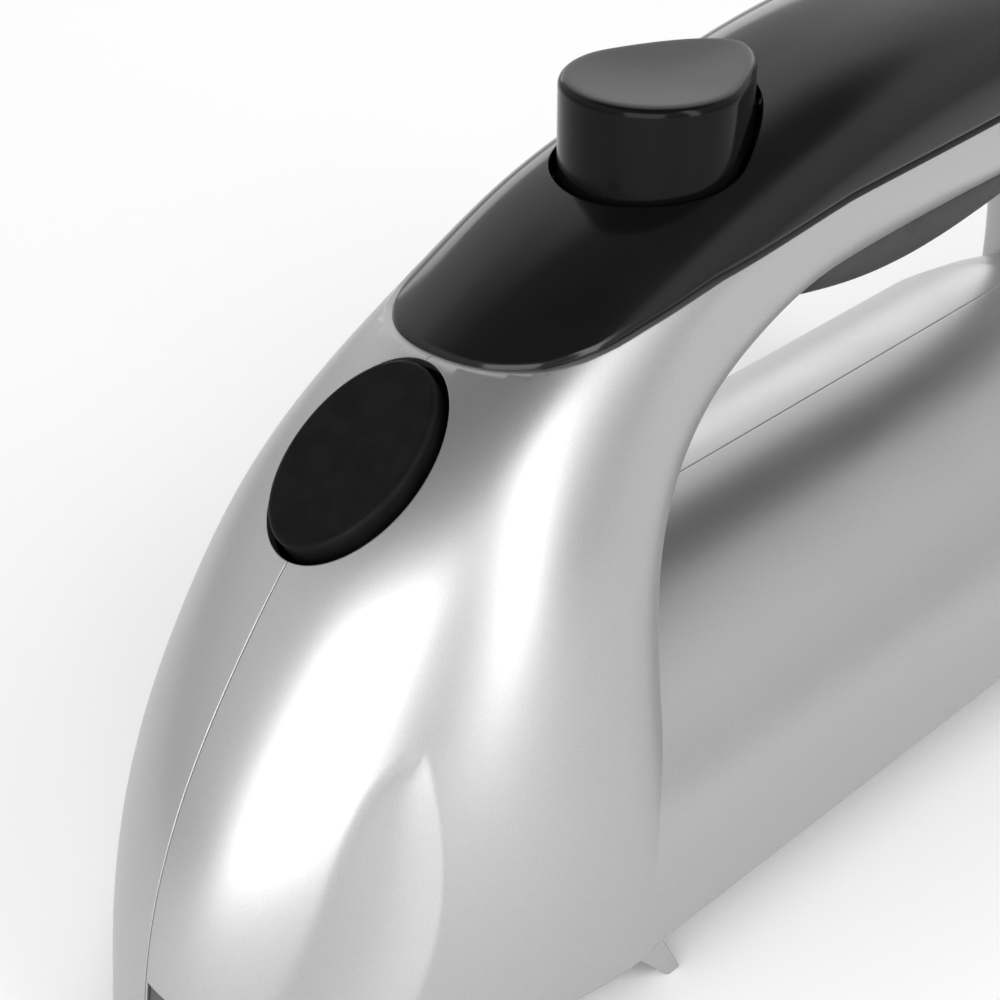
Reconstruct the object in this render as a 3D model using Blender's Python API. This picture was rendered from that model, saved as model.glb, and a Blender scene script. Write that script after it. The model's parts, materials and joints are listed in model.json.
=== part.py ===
"""Hand mixer: two housing halves round a motor, a worm gearbox and two beater spindles.

Metres, +Z up, nose towards -Y, the mixer's left side at +X, lugs and feet standing on z = 0.
"""

import math

import bmesh
import bpy
import numpy as np

mm = 0.001

# Overall form
BASE_Z = 7.5 * mm
WALL = 2.4 * mm
GAP = 0.3 * mm
BELOW = 10 * mm

# Arch of nose, front pillar, handle and rear pillar: the outer line (y, z), the inner line (y, z),
# the half width, where along the section it is widest, and the exponent of the section's curve.
ARCH = (
    ((-121.7, 7.5), (-30.0, 7.5), 38.3, 0.69, 1.76),
    ((-119.2, 25.5), (-31.0, 18.5), 38.0, 0.69, 1.78),
    ((-112.2, 44.5), (-32.0, 29.5), 36.0, 0.66, 1.88),
    ((-100.2, 62.5), (-32.0, 42.5), 33.0, 0.61, 2.0),
    ((-86.2, 78.0), (-30.5, 57.0), 29.5, 0.56, 2.1),
    ((-68.2, 91.0), (-24.5, 68.5), 25.5, 0.52, 2.25),
    ((-48.2, 100.5), (-15.5, 77.0), 23.0, 0.50, 2.5),
    ((-28.0, 107.5), (-6.0, 82.8), 22.3, 0.50, 2.9),
    ((-6.0, 112.5), (4.0, 85.5), 22.0, 0.50, 3.0),
    ((14.0, 116.5), (16.0, 86.0), 22.0, 0.50, 3.0),
    ((45.0, 120.0), (45.0, 86.0), 22.0, 0.50, 3.0),
    ((75.0, 119.0), (73.0, 85.5), 21.5, 0.50, 3.0),
    ((98.0, 111.0), (93.5, 83.0), 20.5, 0.50, 2.8),
    ((112.5, 93.5), (104.5, 74.0), 19.0, 0.50, 2.6),
    ((118.2, 70.5), (108.0, 61.0), 18.0, 0.50, 2.5),
    ((118.4, 47.5), (108.5, 46.5), 17.5, 0.50, 2.5),
    ((116.5, 27.5), (106.0, 27.5), 17.5, 0.50, 2.5),
)
ARCH_RINGS = 42
ARCH_POINTS = 36

# Motor barrel: y, half width, top z, bottom z
BARREL = (
    (-58.0, 38.2, 52.0, 7.5),
    (97.0, 37.2, 52.0, 7.5),
    (107.0, 35.6, 50.8, 7.5),
    (114.0, 32.6, 47.3, 7.5),
    (117.8, 28.0, 42.5, 8.5),
    (118.8, 24.0, 38.5, 12.0),
)
BARREL_CENTRE_Z = 15 * mm
BARREL_CORNER = 1.2 * mm
BARREL_ARC_POINTS = 20

# Hollow in each nose flank: its rear edge sweeps forward as it goes down
SCOOP_EDGE_Y = -90 * mm
SCOOP_SWEEP = 11 * mm
SCOOP_LENGTH = 17.5 * mm
SCOOP_TOP_Z = 53 * mm
SCOOP_BOTTOM_Z = 8 * mm
SCOOP_DEPTH = 2.6 * mm

# Where the top cover meets the housing, as (y, z): everything of the arch above it is cover
COVER_LINE = (
    (-140.0, 93.0),
    (-60.0, 94.3),
    (-55.0, 94.4),
    (-48.0, 95.2),
    (-40.0, 96.9),
    (-26.0, 99.5),
    (6.0, 102.1),
    (48.0, 102.7),
    (80.0, 101.5),
    (104.0, 97.5),
    (140.0, 89.5),
)

# Screw bosses (y, z) that tie the halves together
BOSSES = ((-101.0, 40.0), (-31.0, 84.5), (93.0, 22.0), (113.2, 65.0))
BOSS_RADIUS = 3.9 * mm
SCREW_RADIUS = 1.5 * mm
SCREW_HEAD_RADIUS = 2.8 * mm
SCREW_HEAD_X = -10 * mm
SCREW_TIP_X = 9 * mm

# Eject button on the front slope
EJECT_CENTRE = (0.0, -76.1 * mm, 83.1 * mm)
EJECT_TILT = math.radians(34.7)
EJECT_HALF_WIDTH = 10.2 * mm
EJECT_HALF_LENGTH = 15.6 * mm
EJECT_PROUD = 3.0 * mm
EJECT_DEPTH = 9 * mm
BUTTON_GAP = 1.2 * mm

# Turbo button on top of the handle
TURBO_ROUND_Y = -15.0 * mm
TURBO_RADIUS = 13.8 * mm
TURBO_TIP_Y = 6.0 * mm
TURBO_TOP_Z = 121.5 * mm
TURBO_BOTTOM_Z = 102 * mm
TURBO_DISH = 0.8 * mm

# Speed slider behind it
SLIDER_Y = 62 * mm
SLIDER_LENGTH = 16 * mm
SLIDER_WIDTH = 12 * mm
SLIDER_TRAVEL = 14 * mm

# Grip pad under the handle
PAD_FRONT_Y = -12 * mm
PAD_REAR_Y = 94 * mm
PAD_DROP = 11 * mm
PAD_HALF_WIDTH = 14.5 * mm

# Drive
CORD_Z = 30 * mm
SHAFT_Z = 28.5 * mm
SPINDLE_Y = -74 * mm
SPINDLE_X = 17.9 * mm
SPINDLE_RADIUS = 4.9 * mm
SPINDLE_BOTTOM_Z = 4.5 * mm
SPINDLE_TOP_Z = 39 * mm
SOCKET_RADIUS = 3.3 * mm
SOCKET_TOP_Z = 34 * mm
GEAR_TEETH = 16
GEAR_TIP_RADIUS = 13.5 * mm
GEAR_ROOT_RADIUS = 11.3 * mm
GEAR_HALF_HEIGHT = 4 * mm
WORM_RADIUS = 4 * mm
WORM_THREAD_BASE = 2 * mm
WORM_PITCH = 5.1 * mm
SHAFT_RADIUS = 2.5 * mm
ARMATURE_RADIUS = 9.5 * mm
ARMATURE_FRONT_Y = 4 * mm
ARMATURE_REAR_Y = 28 * mm

COLOURS = {
    "silver_paint": ((0.62, 0.62, 0.63), 0.55, 0.38),
    "gloss_black": ((0.012, 0.012, 0.013), 0.0, 0.12),
    "satin_black": ((0.02, 0.02, 0.021), 0.0, 0.38),
    "grip_rubber": ((0.022, 0.021, 0.022), 0.0, 0.6),
    "dark_plastic": ((0.06, 0.057, 0.058), 0.0, 0.5),
    "white_nylon": ((0.75, 0.74, 0.7), 0.0, 0.45),
    "steel": ((0.55, 0.55, 0.56), 1.0, 0.3),
    "lamination": ((0.22, 0.22, 0.23), 0.9, 0.45),
    "copper": ((0.72, 0.32, 0.16), 1.0, 0.35),
    "brass": ((0.75, 0.56, 0.25), 1.0, 0.32),
    "carbon": ((0.03, 0.03, 0.03), 0.0, 0.7),
    "board_green": ((0.03, 0.16, 0.07), 0.0, 0.45),
}


def clear_scene():
    for obj in list(bpy.data.objects):
        bpy.data.objects.remove(obj, do_unlink=True)


def material_for(obj, kind):
    """Its own Principled material, in one of the colours above."""
    colour, metallic, roughness = COLOURS[kind]
    material = bpy.data.materials.new(f"{obj.name}_{kind}")
    material.use_nodes = True
    shader = material.node_tree.nodes["Principled BSDF"]
    shader.inputs["Base Color"].default_value = (*colour, 1)
    shader.inputs["Metallic"].default_value = metallic
    shader.inputs["Roughness"].default_value = roughness
    obj.data.materials.clear()
    obj.data.materials.append(material)


def mesh_object(name, points, faces, kind=None):
    mesh = bpy.data.meshes.new(name)
    mesh.from_pydata([tuple(point) for point in points], [], faces)
    tidy = bmesh.new()
    tidy.from_mesh(mesh)
    bmesh.ops.recalc_face_normals(tidy, faces=tidy.faces)
    tidy.to_mesh(mesh)
    tidy.free()
    obj = bpy.data.objects.new(name, mesh)
    bpy.context.scene.collection.objects.link(obj)
    if kind:
        material_for(obj, kind)
    return obj


def loft(name, rings, kind=None):
    """A closed solid through rings that have the same number of points."""
    count = len(rings[0])
    points = [point for ring in rings for point in ring]
    faces = []
    for i in range(len(rings) - 1):
        for j in range(count):
            k = (j + 1) % count
            faces.append((i * count + j, i * count + k, (i + 1) * count + k, (i + 1) * count + j))
    faces.append(tuple(range(count)))
    faces.append(tuple((len(rings) - 1) * count + j for j in range(count)))
    return mesh_object(name, points, faces, kind)


def tube_loft(name, rings, kind=None):
    """A solid whose last ring joins its first, like a ring with a hole through it."""
    count = len(rings[0])
    points = [point for ring in rings for point in ring]
    faces = []
    for i in range(len(rings)):
        n = (i + 1) % len(rings)
        for j in range(count):
            k = (j + 1) % count
            faces.append((i * count + j, i * count + k, n * count + k, n * count + j))
    return mesh_object(name, points, faces, kind)


def turned(centre, axis, radius, along, angle):
    """The point at this radius, height and angle about an axis through centre."""
    a = radius * math.cos(angle)
    b = radius * math.sin(angle)
    x, y, z = centre
    if axis == "Z":
        return (x + a, y + b, z + along)
    if axis == "Y":
        return (x + b, y + along, z + a)
    return (x + along, y + a, z + b)


def revolve(name, profile, centre, axis, segments, kind=None, hollow=False):
    """A solid turned from (radius, height) pairs: ends capped, or joined up when hollow."""
    rings = [
        [turned(centre, axis, radius, along, 2 * math.pi * k / segments) for k in range(segments)]
        for radius, along in profile
    ]
    return tube_loft(name, rings, kind) if hollow else loft(name, rings, kind)


def cylinder(name, radius, start, end, centre, axis, segments, kind=None):
    return revolve(name, ((radius, start), (radius, end)), centre, axis, segments, kind)


def box(name, low, high, kind=None):
    (x0, y0, z0), (x1, y1, z1) = low, high
    rings = [[(x0, y0, z), (x1, y0, z), (x1, y1, z), (x0, y1, z)] for z in (z0, z1)]
    return loft(name, rings, kind)


def prism(name, outline, z_levels, kind=None):
    """An (x, y) outline carried through (z, scale) levels."""
    cx = sum(x for x, _ in outline) / len(outline)
    cy = sum(y for _, y in outline) / len(outline)
    rings = [
        [(cx + (x - cx) * scale, cy + (y - cy) * scale, z) for x, y in outline]
        for z, scale in z_levels
    ]
    return loft(name, rings, kind)


def boolean(obj, other, operation):
    """Applies an exact Boolean of the two, and removes the other."""
    modifier = obj.modifiers.new(operation, "BOOLEAN")
    modifier.operation = operation
    modifier.solver = "EXACT"
    modifier.object = other
    bpy.context.view_layer.update()
    graph = bpy.context.evaluated_depsgraph_get()
    mesh = bpy.data.meshes.new_from_object(obj.evaluated_get(graph))
    obj.modifiers.clear()
    obj.data = mesh
    bpy.data.objects.remove(other, do_unlink=True)
    return obj


def cut(obj, *cutters):
    for cutter in cutters:
        boolean(obj, cutter, "DIFFERENCE")
    return obj


def join(obj, *others):
    for other in others:
        boolean(obj, other, "UNION")
    return obj


def keep_inside(obj, region):
    return boolean(obj, region, "INTERSECT")


def copy_of(obj, name):
    twin = obj.copy()
    twin.data = obj.data.copy()
    twin.name = name
    bpy.context.scene.collection.objects.link(twin)
    return twin


def smooth_between(values, t):
    """Catmull-Rom value at t, where whole numbers are the given values."""
    i = min(int(t), len(values) - 2)
    u = t - i
    before = values[max(i - 1, 0)]
    start = values[i]
    end = values[i + 1]
    after = values[min(i + 2, len(values) - 1)]
    return 0.5 * (
        2 * start
        + (end - before) * u
        + (2 * before - 5 * start + 4 * end - after) * u**2
        + (3 * start - before - 3 * end + after) * u**3
    )


def scoop_depth(y, z):
    """How deep the nose flank's hollow is: creased at its rear edge, fading out towards the nose."""
    height = (z - SCOOP_BOTTOM_Z) / (SCOOP_TOP_Z - SCOOP_BOTTOM_Z)
    if not 0 < height < 1:
        return 0.0
    edge = SCOOP_EDGE_Y - SCOOP_SWEEP * (1 - height) ** 2.4
    ahead = (edge - y) / (SCOOP_LENGTH * math.sqrt(1 - height**2))
    if not 0 < ahead < 1:
        return 0.0
    return SCOOP_DEPTH * math.sin(math.pi * height) ** 0.6 * 4.55 * ahead * (1 - ahead) ** 1.2


def superellipse(angle, power):
    """The point of |a|^power + |b|^power = 1 in this direction."""
    c, s = math.cos(angle), math.sin(angle)
    radius = (abs(c) ** power + abs(s) ** power) ** (-1 / power)
    return radius * c, radius * s


def arch_ring(t, inset, points):
    outer = smooth_between(np.array([row[0] for row in ARCH]) * mm, t)
    inner = smooth_between(np.array([row[1] for row in ARCH]) * mm, t)
    half, widest, power = smooth_between(np.array([row[2:] for row in ARCH]), t)
    towards = (inner - outer) / np.linalg.norm(inner - outer)
    outer = outer + towards * inset
    inner = inner - towards * inset
    half = half * mm - inset
    middle = outer + (inner - outer) * widest
    ring = []
    for k in range(points):
        along, across = superellipse(2 * math.pi * k / points, power)
        reach = outer - middle if along > 0 else middle - inner
        y, z = middle + reach * along
        x = half * across
        if inset >= 0:
            x -= math.copysign(min(abs(x), scoop_depth(y, z)), x)
        ring.append((x, y, z))
    return ring


def arch(name, inset, rings, points, below=0.0):
    steps = np.linspace(0, len(ARCH) - 1, rings)
    lofted = [arch_ring(t, inset, points) for t in steps]
    if below:
        lofted.insert(0, [(x, y, z - below) for x, y, z in lofted[0]])
    return loft(name, lofted)


def barrel_ring(y, half, top, bottom, inset, below):
    """A round-topped section on straight sides, with rounded bottom corners."""
    half = half * mm - inset
    height = top * mm - inset - BARREL_CENTRE_Z
    floor = bottom * mm - below
    ring = []
    for k in range(BARREL_ARC_POINTS + 1):
        angle = math.pi * k / BARREL_ARC_POINTS
        ring.append((half * math.cos(angle), y, BARREL_CENTRE_Z + height * math.sin(angle)))
    corner = min(BARREL_CORNER, (BARREL_CENTRE_Z - floor) * 0.8)
    for start in (math.pi, 1.5 * math.pi):
        side = -1 if start == math.pi else 1
        for k in range(4):
            angle = start + 0.5 * math.pi * k / 3
            x = side * (half - corner) + corner * math.cos(angle)
            ring.append((x, y, floor + corner + corner * math.sin(angle)))
    return ring


def barrel(name, inset, below=0.0):
    rings = []
    for y, half, top, bottom in BARREL:
        pulled = y * mm - inset if y > 0 else y * mm
        rings.append(barrel_ring(pulled, half, top, bottom, inset, below))
    return loft(name, rings)


def form(name, inset, rings, points, below=0.0):
    """The whole outer form, or one set in from it."""
    return join(arch(name, inset, rings, points, below), barrel(name + "_barrel", inset, below))


def above_cover_line(name, drop):
    """The region above the line where the top cover meets the housing, lowered by drop."""
    line = [(y * mm, z * mm - drop) for y, z in COVER_LINE]
    line += [(line[-1][0], 150 * mm), (line[0][0], 150 * mm)]
    return loft(name, [[(x, y, z) for y, z in line] for x in (-40 * mm, 40 * mm)])


def tilted_ellipse(name, half_width, half_length, low, high, edge=0.0, kind=None):
    """An oval plug square to the front slope, its heights measured from the slope."""
    levels = [(low, 0.0), (high - edge, 0.0)]
    if edge:
        levels += [(high - 0.3 * edge, 0.3 * edge), (high, edge)]
    c, s = math.cos(EJECT_TILT), math.sin(EJECT_TILT)
    x0, y0, z0 = EJECT_CENTRE
    rings = []
    for height, shrink in levels:
        ring = []
        for k in range(36):
            angle = 2 * math.pi * k / 36
            u = (half_width - shrink) * math.cos(angle)
            v = (half_length - shrink) * math.sin(angle)
            ring.append((x0 + u, y0 + v * c - height * s, z0 + v * s + height * c))
        rings.append(ring)
    return loft(name, rings, kind)


def teardrop(grow):
    """Outline of the turbo button: a round front drawn in to a small rounded tip behind."""
    radius = TURBO_RADIUS + grow
    tip = TURBO_TIP_Y + grow * 1.2
    turn = math.radians(12)
    outline = []
    for k in range(21):
        angle = turn - (math.pi + 2 * turn) * k / 20
        outline.append((radius * math.cos(angle), TURBO_ROUND_Y + radius * math.sin(angle)))
    x0, y0 = outline[-1]
    for side, steps in ((1, range(1, 10)), (-1, range(8, 0, -1))):
        for k in steps:
            u = 1 - (1 - k / 9) ** 2
            x = side * x0 * (1 - u) ** 0.6 * (1 + 0.1 * u)
            outline.append((x, y0 + (tip - y0) * u))
    return outline


def rectangle(cx, cy, half_x, half_y, corner):
    """A rounded rectangle outline in x and y."""
    outline = []
    for quarter in range(4):
        sx = 1 if quarter in (0, 3) else -1
        sy = 1 if quarter in (0, 1) else -1
        for k in range(5):
            angle = 0.5 * math.pi * (quarter + k / 4)
            x = cx + sx * (half_x - corner) + corner * math.cos(angle)
            outline.append((x, cy + sy * (half_y - corner) + corner * math.sin(angle)))
    return outline


def lug(name, side):
    """A tapered lug below the bottom edge, leaning back."""
    x0 = side * 29.5 * mm
    x1 = side * 37 * mm
    tip = side * 1.3 * mm
    top = BASE_Z + 3 * mm
    rings = [
        [(x0, -61 * mm, top), (x1, -61 * mm, top), (x1, -55 * mm, top), (x0, -55 * mm, top)],
        [(x, y * mm, BASE_Z) for x, y in ((x0, -59.7), (x1, -59.7), (x1, -53.2), (x0, -53.2))],
        [(x + tip, y * mm, 0) for x, y in ((x0, -52.5), (x1, -52.5), (x1, -49.7), (x0, -49.7))],
    ]
    return loft(name, rings)


def inlay_region(name, grow):
    """The patch at the foot of the nose, beside the parting line, as a plug through the wall."""
    near, far = 0.7 * mm - grow, 10 * mm + grow
    outline = [(near, -2 * mm), (far, -2 * mm), (far, 13 * mm + grow), (7 * mm, 16.2 * mm + grow)]
    outline += [(4 * mm, 18.4 * mm + grow), (near, 20.2 * mm + grow)]
    rings = [[(x, y, z) for x, z in outline] for y in (-131 * mm, -111.3 * mm)]
    return loft(name, rings)


def housing():
    """Both halves: an outer form less its cavity, the cover, the buttons and the screw holes."""
    shell = form("shell", 0, ARCH_RINGS, ARCH_POINTS)
    cavity = form("cavity", WALL, 30, 24, BELOW)
    for i, (y, z) in enumerate(BOSSES):
        centre = (0, y * mm, z * mm)
        cut(cavity, cylinder(f"boss_{i}", BOSS_RADIUS, -45 * mm, 45 * mm, centre, "X", 14))
    cut(shell, cavity)
    cut(shell, above_cover_line("cover_region", GAP))
    hole_size = (EJECT_HALF_WIDTH + BUTTON_GAP, EJECT_HALF_LENGTH + BUTTON_GAP)
    cut(shell, tilted_ellipse("eject_hole", *hole_size, -12 * mm, 12 * mm))
    cut(shell, inlay_region("inlay_hole", GAP))
    cut(shell, cylinder("cord_hole", 5.3 * mm, 105 * mm, 130 * mm, (0, 0, CORD_Z), "Y", 20))
    halves = []
    for name, side in (("left_housing", 1), ("right_housing", -1)):
        half = copy_of(shell, name)
        near, far = sorted((side * GAP / 2, side * 60 * mm))
        keep_inside(half, box("side", (near, -140 * mm, -5 * mm), (far, 140 * mm, 140 * mm)))
        join(half, lug("lug", side))
        halves.append(half)
    bpy.data.objects.remove(shell, do_unlink=True)
    for i, (y, z) in enumerate(BOSSES):
        centre = (0, y * mm, z * mm)
        hole = SCREW_RADIUS + GAP
        cut(halves[0], cylinder("pilot", hole, -1 * mm, SCREW_TIP_X + 2 * mm, centre, "X", 12))
        cut(halves[1], cylinder("clear", hole, SCREW_HEAD_X - 1 * mm, 1 * mm, centre, "X", 12))
        cut(halves[1], cylinder("bore", SCREW_HEAD_RADIUS + GAP, -60 * mm, SCREW_HEAD_X, centre, "X", 14))
    for half in halves:
        material_for(half, "silver_paint")
    return halves


def housing_screws():
    for i, (y, z) in enumerate(BOSSES):
        profile = (
            (SCREW_HEAD_RADIUS * 0.7, SCREW_HEAD_X - 2.6 * mm),
            (SCREW_HEAD_RADIUS, SCREW_HEAD_X - 1.8 * mm),
            (SCREW_HEAD_RADIUS, SCREW_HEAD_X - GAP),
            (SCREW_RADIUS, SCREW_HEAD_X - GAP),
            (SCREW_RADIUS, SCREW_TIP_X - 1 * mm),
            (SCREW_RADIUS * 0.4, SCREW_TIP_X),
        )
        revolve(f"housing_screw_{i + 1}", profile, (0, y * mm, z * mm), "X", 14, "steel")


def top_cover():
    cover = arch("handle_top_cover", 0, ARCH_RINGS, ARCH_POINTS)
    cut(cover, arch("inside", WALL, 30, 24))
    keep_inside(cover, above_cover_line("region", 0))
    cut(cover, prism("turbo_hole", teardrop(BUTTON_GAP), ((90 * mm, 1), (130 * mm, 1))))
    slot = rectangle(0, SLIDER_Y + SLIDER_TRAVEL / 2, 4 * mm, SLIDER_TRAVEL / 2 + 6 * mm, 2 * mm)
    cut(cover, prism("slider_slot", slot, ((100 * mm, 1), (130 * mm, 1))))
    material_for(cover, "gloss_black")


def bottom_cover():
    plate = form("bottom_cover", WALL + GAP, 30, 24, BELOW)
    keep_inside(plate, box("slab", (-60 * mm, -140 * mm, BASE_Z), (60 * mm, 140 * mm, BASE_Z + 2.4 * mm)))
    for side in (1, -1):
        x = side * SPINDLE_X
        cut(plate, cylinder("spindle_hole", 6.4 * mm, -5 * mm, 20 * mm, (x, SPINDLE_Y, 0), "Z", 24))
        lug_low, lug_high = sorted((side * 28.6 * mm, side * 50 * mm))
        cut(plate, box("lug_room", (lug_low, -62 * mm, 0), (lug_high, -51 * mm, 20 * mm)))
    for i in range(6):
        y = (30 + 7 * i) * mm
        cut(plate, box("vent", (-18 * mm, y, 0), (18 * mm, y + 3 * mm, 20 * mm)))
    for side in (1, -1):
        cut(plate, cylinder("foot_hole", 3 * mm, -5 * mm, 20 * mm, (side * 22 * mm, 90 * mm, 0), "Z", 16))
    material_for(plate, "dark_plastic")


def front_inlay():
    inlay = form("front_inlay", 0.4 * mm, ARCH_RINGS, ARCH_POINTS)
    keep_inside(inlay, inlay_region("region", 0))
    cut(inlay, form("inside", 2 * mm, 30, 24, BELOW))
    material_for(inlay, "dark_plastic")


def buttons():
    size = (EJECT_HALF_WIDTH, EJECT_HALF_LENGTH)
    tilted_ellipse("eject_button", *size, -EJECT_DEPTH, EJECT_PROUD, 0.9 * mm, "satin_black")
    levels = (
        (TURBO_BOTTOM_Z, 1),
        (TURBO_TOP_Z - 1.2 * mm, 1),
        (TURBO_TOP_Z - 0.4 * mm, 0.965),
        (TURBO_TOP_Z, 0.91),
        (TURBO_TOP_Z - 0.6 * TURBO_DISH, 0.6),
        (TURBO_TOP_Z - TURBO_DISH, 0.25),
    )
    prism("turbo_button", teardrop(0), levels, "gloss_black")


def speed_slider():
    top = rectangle(0, SLIDER_Y, SLIDER_WIDTH / 2, SLIDER_LENGTH / 2, 2.5 * mm)
    base = 121.1 * mm
    slider = prism("speed_slider", top, ((base, 1), (base + 2.4 * mm, 1), (base + 3.2 * mm, 0.9)))
    ridge_count = 5
    for i in range(ridge_count):
        y = SLIDER_Y + (i - (ridge_count - 1) / 2) * 2.4 * mm
        low = (-4 * mm, y - 0.5 * mm, base + 2 * mm)
        high = (4 * mm, y + 0.5 * mm, base + 4.2 * mm)
        join(slider, box("ridge", low, high))
    stem = rectangle(0, SLIDER_Y, 3.4 * mm, 5 * mm, 1.5 * mm)
    join(slider, prism("stem", stem, ((109.5 * mm, 1), (base + 1 * mm, 1))))
    material_for(slider, "satin_black")


def pad_ring(y):
    """One section of the grip pad: a lens that hangs below the handle's underside."""
    u = (y - PAD_FRONT_Y) / (PAD_REAR_Y - PAD_FRONT_Y)
    swell = min(1.0, math.sin(math.pi * min(max(u, 0.01), 0.99)) * 1.6) ** 0.8
    half = PAD_HALF_WIDTH * swell
    drop = PAD_DROP * math.sin(math.pi * min(max(u, 0.01), 0.99)) ** 1.2 + 1.5 * mm
    top = 86.5 * mm + 5 * mm * max(0.0, 1 - u * 9)
    ring = []
    for k in range(16):
        angle = 2 * math.pi * k / 16
        c, s = math.cos(angle), math.sin(angle)
        z = top + (4 * mm * s if s > 0 else drop * s)
        ring.append((half * c, y, z))
    return ring


def grip_pad():
    ys = np.linspace(PAD_FRONT_Y, PAD_REAR_Y, 17)
    pad = loft("handle_grip_pad", [pad_ring(y) for y in ys])
    cut(pad, arch("handle_room", -GAP, ARCH_RINGS, ARCH_POINTS))
    material_for(pad, "grip_rubber")


def feet():
    for name, side in (("left_rear_foot", 1), ("right_rear_foot", -1)):
        profile = (
            (3.8 * mm, 0),
            (4.6 * mm, 0.6 * mm),
            (4.6 * mm, BASE_Z - GAP),
            (2.7 * mm, BASE_Z - GAP),
            (2.7 * mm, BASE_Z + 3.6 * mm),
        )
        revolve(name, profile, (side * 22 * mm, 90 * mm, 0), "Z", 18, "grip_rubber")


def cord_bush():
    profile = (
        (4.9 * mm, 106 * mm),
        (4.9 * mm, 119.1 * mm),
        (6.6 * mm, 119.1 * mm),
        (6.2 * mm, 121.65 * mm),
        (3.4 * mm, 121.65 * mm),
        (3.4 * mm, 106 * mm),
    )
    revolve("cord_bush", profile, (0, 0, CORD_Z), "Y", 20, "grip_rubber", hollow=True)


def spindle_gear(name, side):
    """A worm wheel on its hollow spindle, in one moulding, with a blind socket for a beater."""
    count = GEAR_TEETH * 4
    phase = 0.0 if side > 0 else math.pi / GEAR_TEETH

    def ring(z, kind):
        points = []
        for k in range(count):
            angle = 2 * math.pi * k / count + phase
            radius = SPINDLE_RADIUS
            if kind == "teeth":
                radius = GEAR_TIP_RADIUS if k % 4 in (0, 1) else GEAR_ROOT_RADIUS
            if kind == "socket":
                radius = SOCKET_RADIUS
            points.append((radius * math.cos(angle), radius * math.sin(angle), z))
        return points

    low = SHAFT_Z - GEAR_HALF_HEIGHT
    high = SHAFT_Z + GEAR_HALF_HEIGHT
    rings = [
        ring(SOCKET_TOP_Z, "socket"),
        ring(SPINDLE_BOTTOM_Z, "socket"),
        ring(SPINDLE_BOTTOM_Z, "spindle"),
        ring(low, "spindle"),
        ring(low, "teeth"),
        ring(high, "teeth"),
        ring(high, "spindle"),
        ring(SPINDLE_TOP_Z, "spindle"),
    ]
    gear = loft(name, rings, "white_nylon")
    gear.location = (side * SPINDLE_X, SPINDLE_Y, 0)


def armature_shaft():
    """Steel shaft with a worm cut on its front end."""
    turns = 7
    per_turn = 8
    start = SPINDLE_Y - turns * WORM_PITCH / 2
    end = SPINDLE_Y + turns * WORM_PITCH / 2
    shaft = cylinder("armature_shaft", SHAFT_RADIUS, -100 * mm, 58 * mm, (0, 0, SHAFT_Z), "Y", 20)
    steps = turns * per_turn
    rings = []
    for i in range(steps + 1):
        angle = 2 * math.pi * i / per_turn
        y = start + (end - start) * i / steps
        ring = []
        for along, radius in (
            (-1.4 * mm, WORM_THREAD_BASE),
            (-0.6 * mm, WORM_RADIUS),
            (0.6 * mm, WORM_RADIUS),
            (1.4 * mm, WORM_THREAD_BASE),
        ):
            ring.append(turned((0, y, SHAFT_Z), "Y", radius, along, angle))
        rings.append(ring)
    join(shaft, loft("thread", rings))
    material_for(shaft, "steel")


def armature():
    """Slotted core, its windings' ends, the commutator and the fan."""
    hole = SHAFT_RADIUS + GAP
    slots = 12
    rings = []
    front, rear = ARMATURE_FRONT_Y, ARMATURE_REAR_Y
    for y, inner in ((front, False), (rear, False), (rear, True), (front, True)):
        ring = []
        for k in range(slots * 4):
            angle = 2 * math.pi * k / (slots * 4)
            radius = hole if inner else (ARMATURE_RADIUS if k % 4 else ARMATURE_RADIUS - 2.2 * mm)
            ring.append(turned((0, 0, SHAFT_Z), "Y", radius, y, angle))
        rings.append(ring)
    tube_loft("armature_core", rings, "lamination")
    for name, y0, y1 in (("front_winding", -1.5, 3.7), ("rear_winding", 28.3, 33.5)):
        profile = (
            (hole, y0 * mm),
            (7.2 * mm, y0 * mm),
            (8.2 * mm, (y0 + 1.5) * mm),
            (8.2 * mm, (y1 - 1) * mm),
            (7.4 * mm, y1 * mm),
            (hole, y1 * mm),
        )
        revolve(name, profile, (0, 0, SHAFT_Z), "Y", 20, "copper", hollow=True)
    profile = ((hole, 34 * mm), (5.6 * mm, 34 * mm), (5.6 * mm, 44 * mm), (hole, 44 * mm))
    revolve("commutator", profile, (0, 0, SHAFT_Z), "Y", 24, "copper", hollow=True)


def cooling_fan():
    """A hub, a disc and eight blades on the shaft."""
    bore, rim = SHAFT_RADIUS + GAP, 5 * mm
    front, rear = -20 * mm, -11 * mm
    profile = ((bore, front), (rim, front), (rim, rear), (bore, rear))
    hub = revolve("cooling_fan", profile, (0, 0, SHAFT_Z), "Y", 20, hollow=True)
    inner, outer = 4 * mm, 14 * mm
    front, rear = -12.6 * mm, -11.2 * mm
    profile = ((inner, front), (outer, front), (outer, rear), (inner, rear))
    join(hub, revolve("disc", profile, (0, 0, SHAFT_Z), "Y", 24, hollow=True))
    for k in range(8):
        angle = 2 * math.pi * k / 8
        c, s = math.cos(angle), math.sin(angle)
        rings = []
        for radius in (4.2 * mm, 13.4 * mm):
            ring = []
            for side, y in ((-1, -19.5), (1, -19.5), (1, -12), (-1, -12)):
                x = radius * s + side * 0.6 * mm * c
                z = SHAFT_Z + radius * c - side * 0.6 * mm * s
                ring.append((x, y * mm, z))
            rings.append(ring)
        join(hub, loft("blade", rings))
    material_for(hub, "white_nylon")


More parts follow.
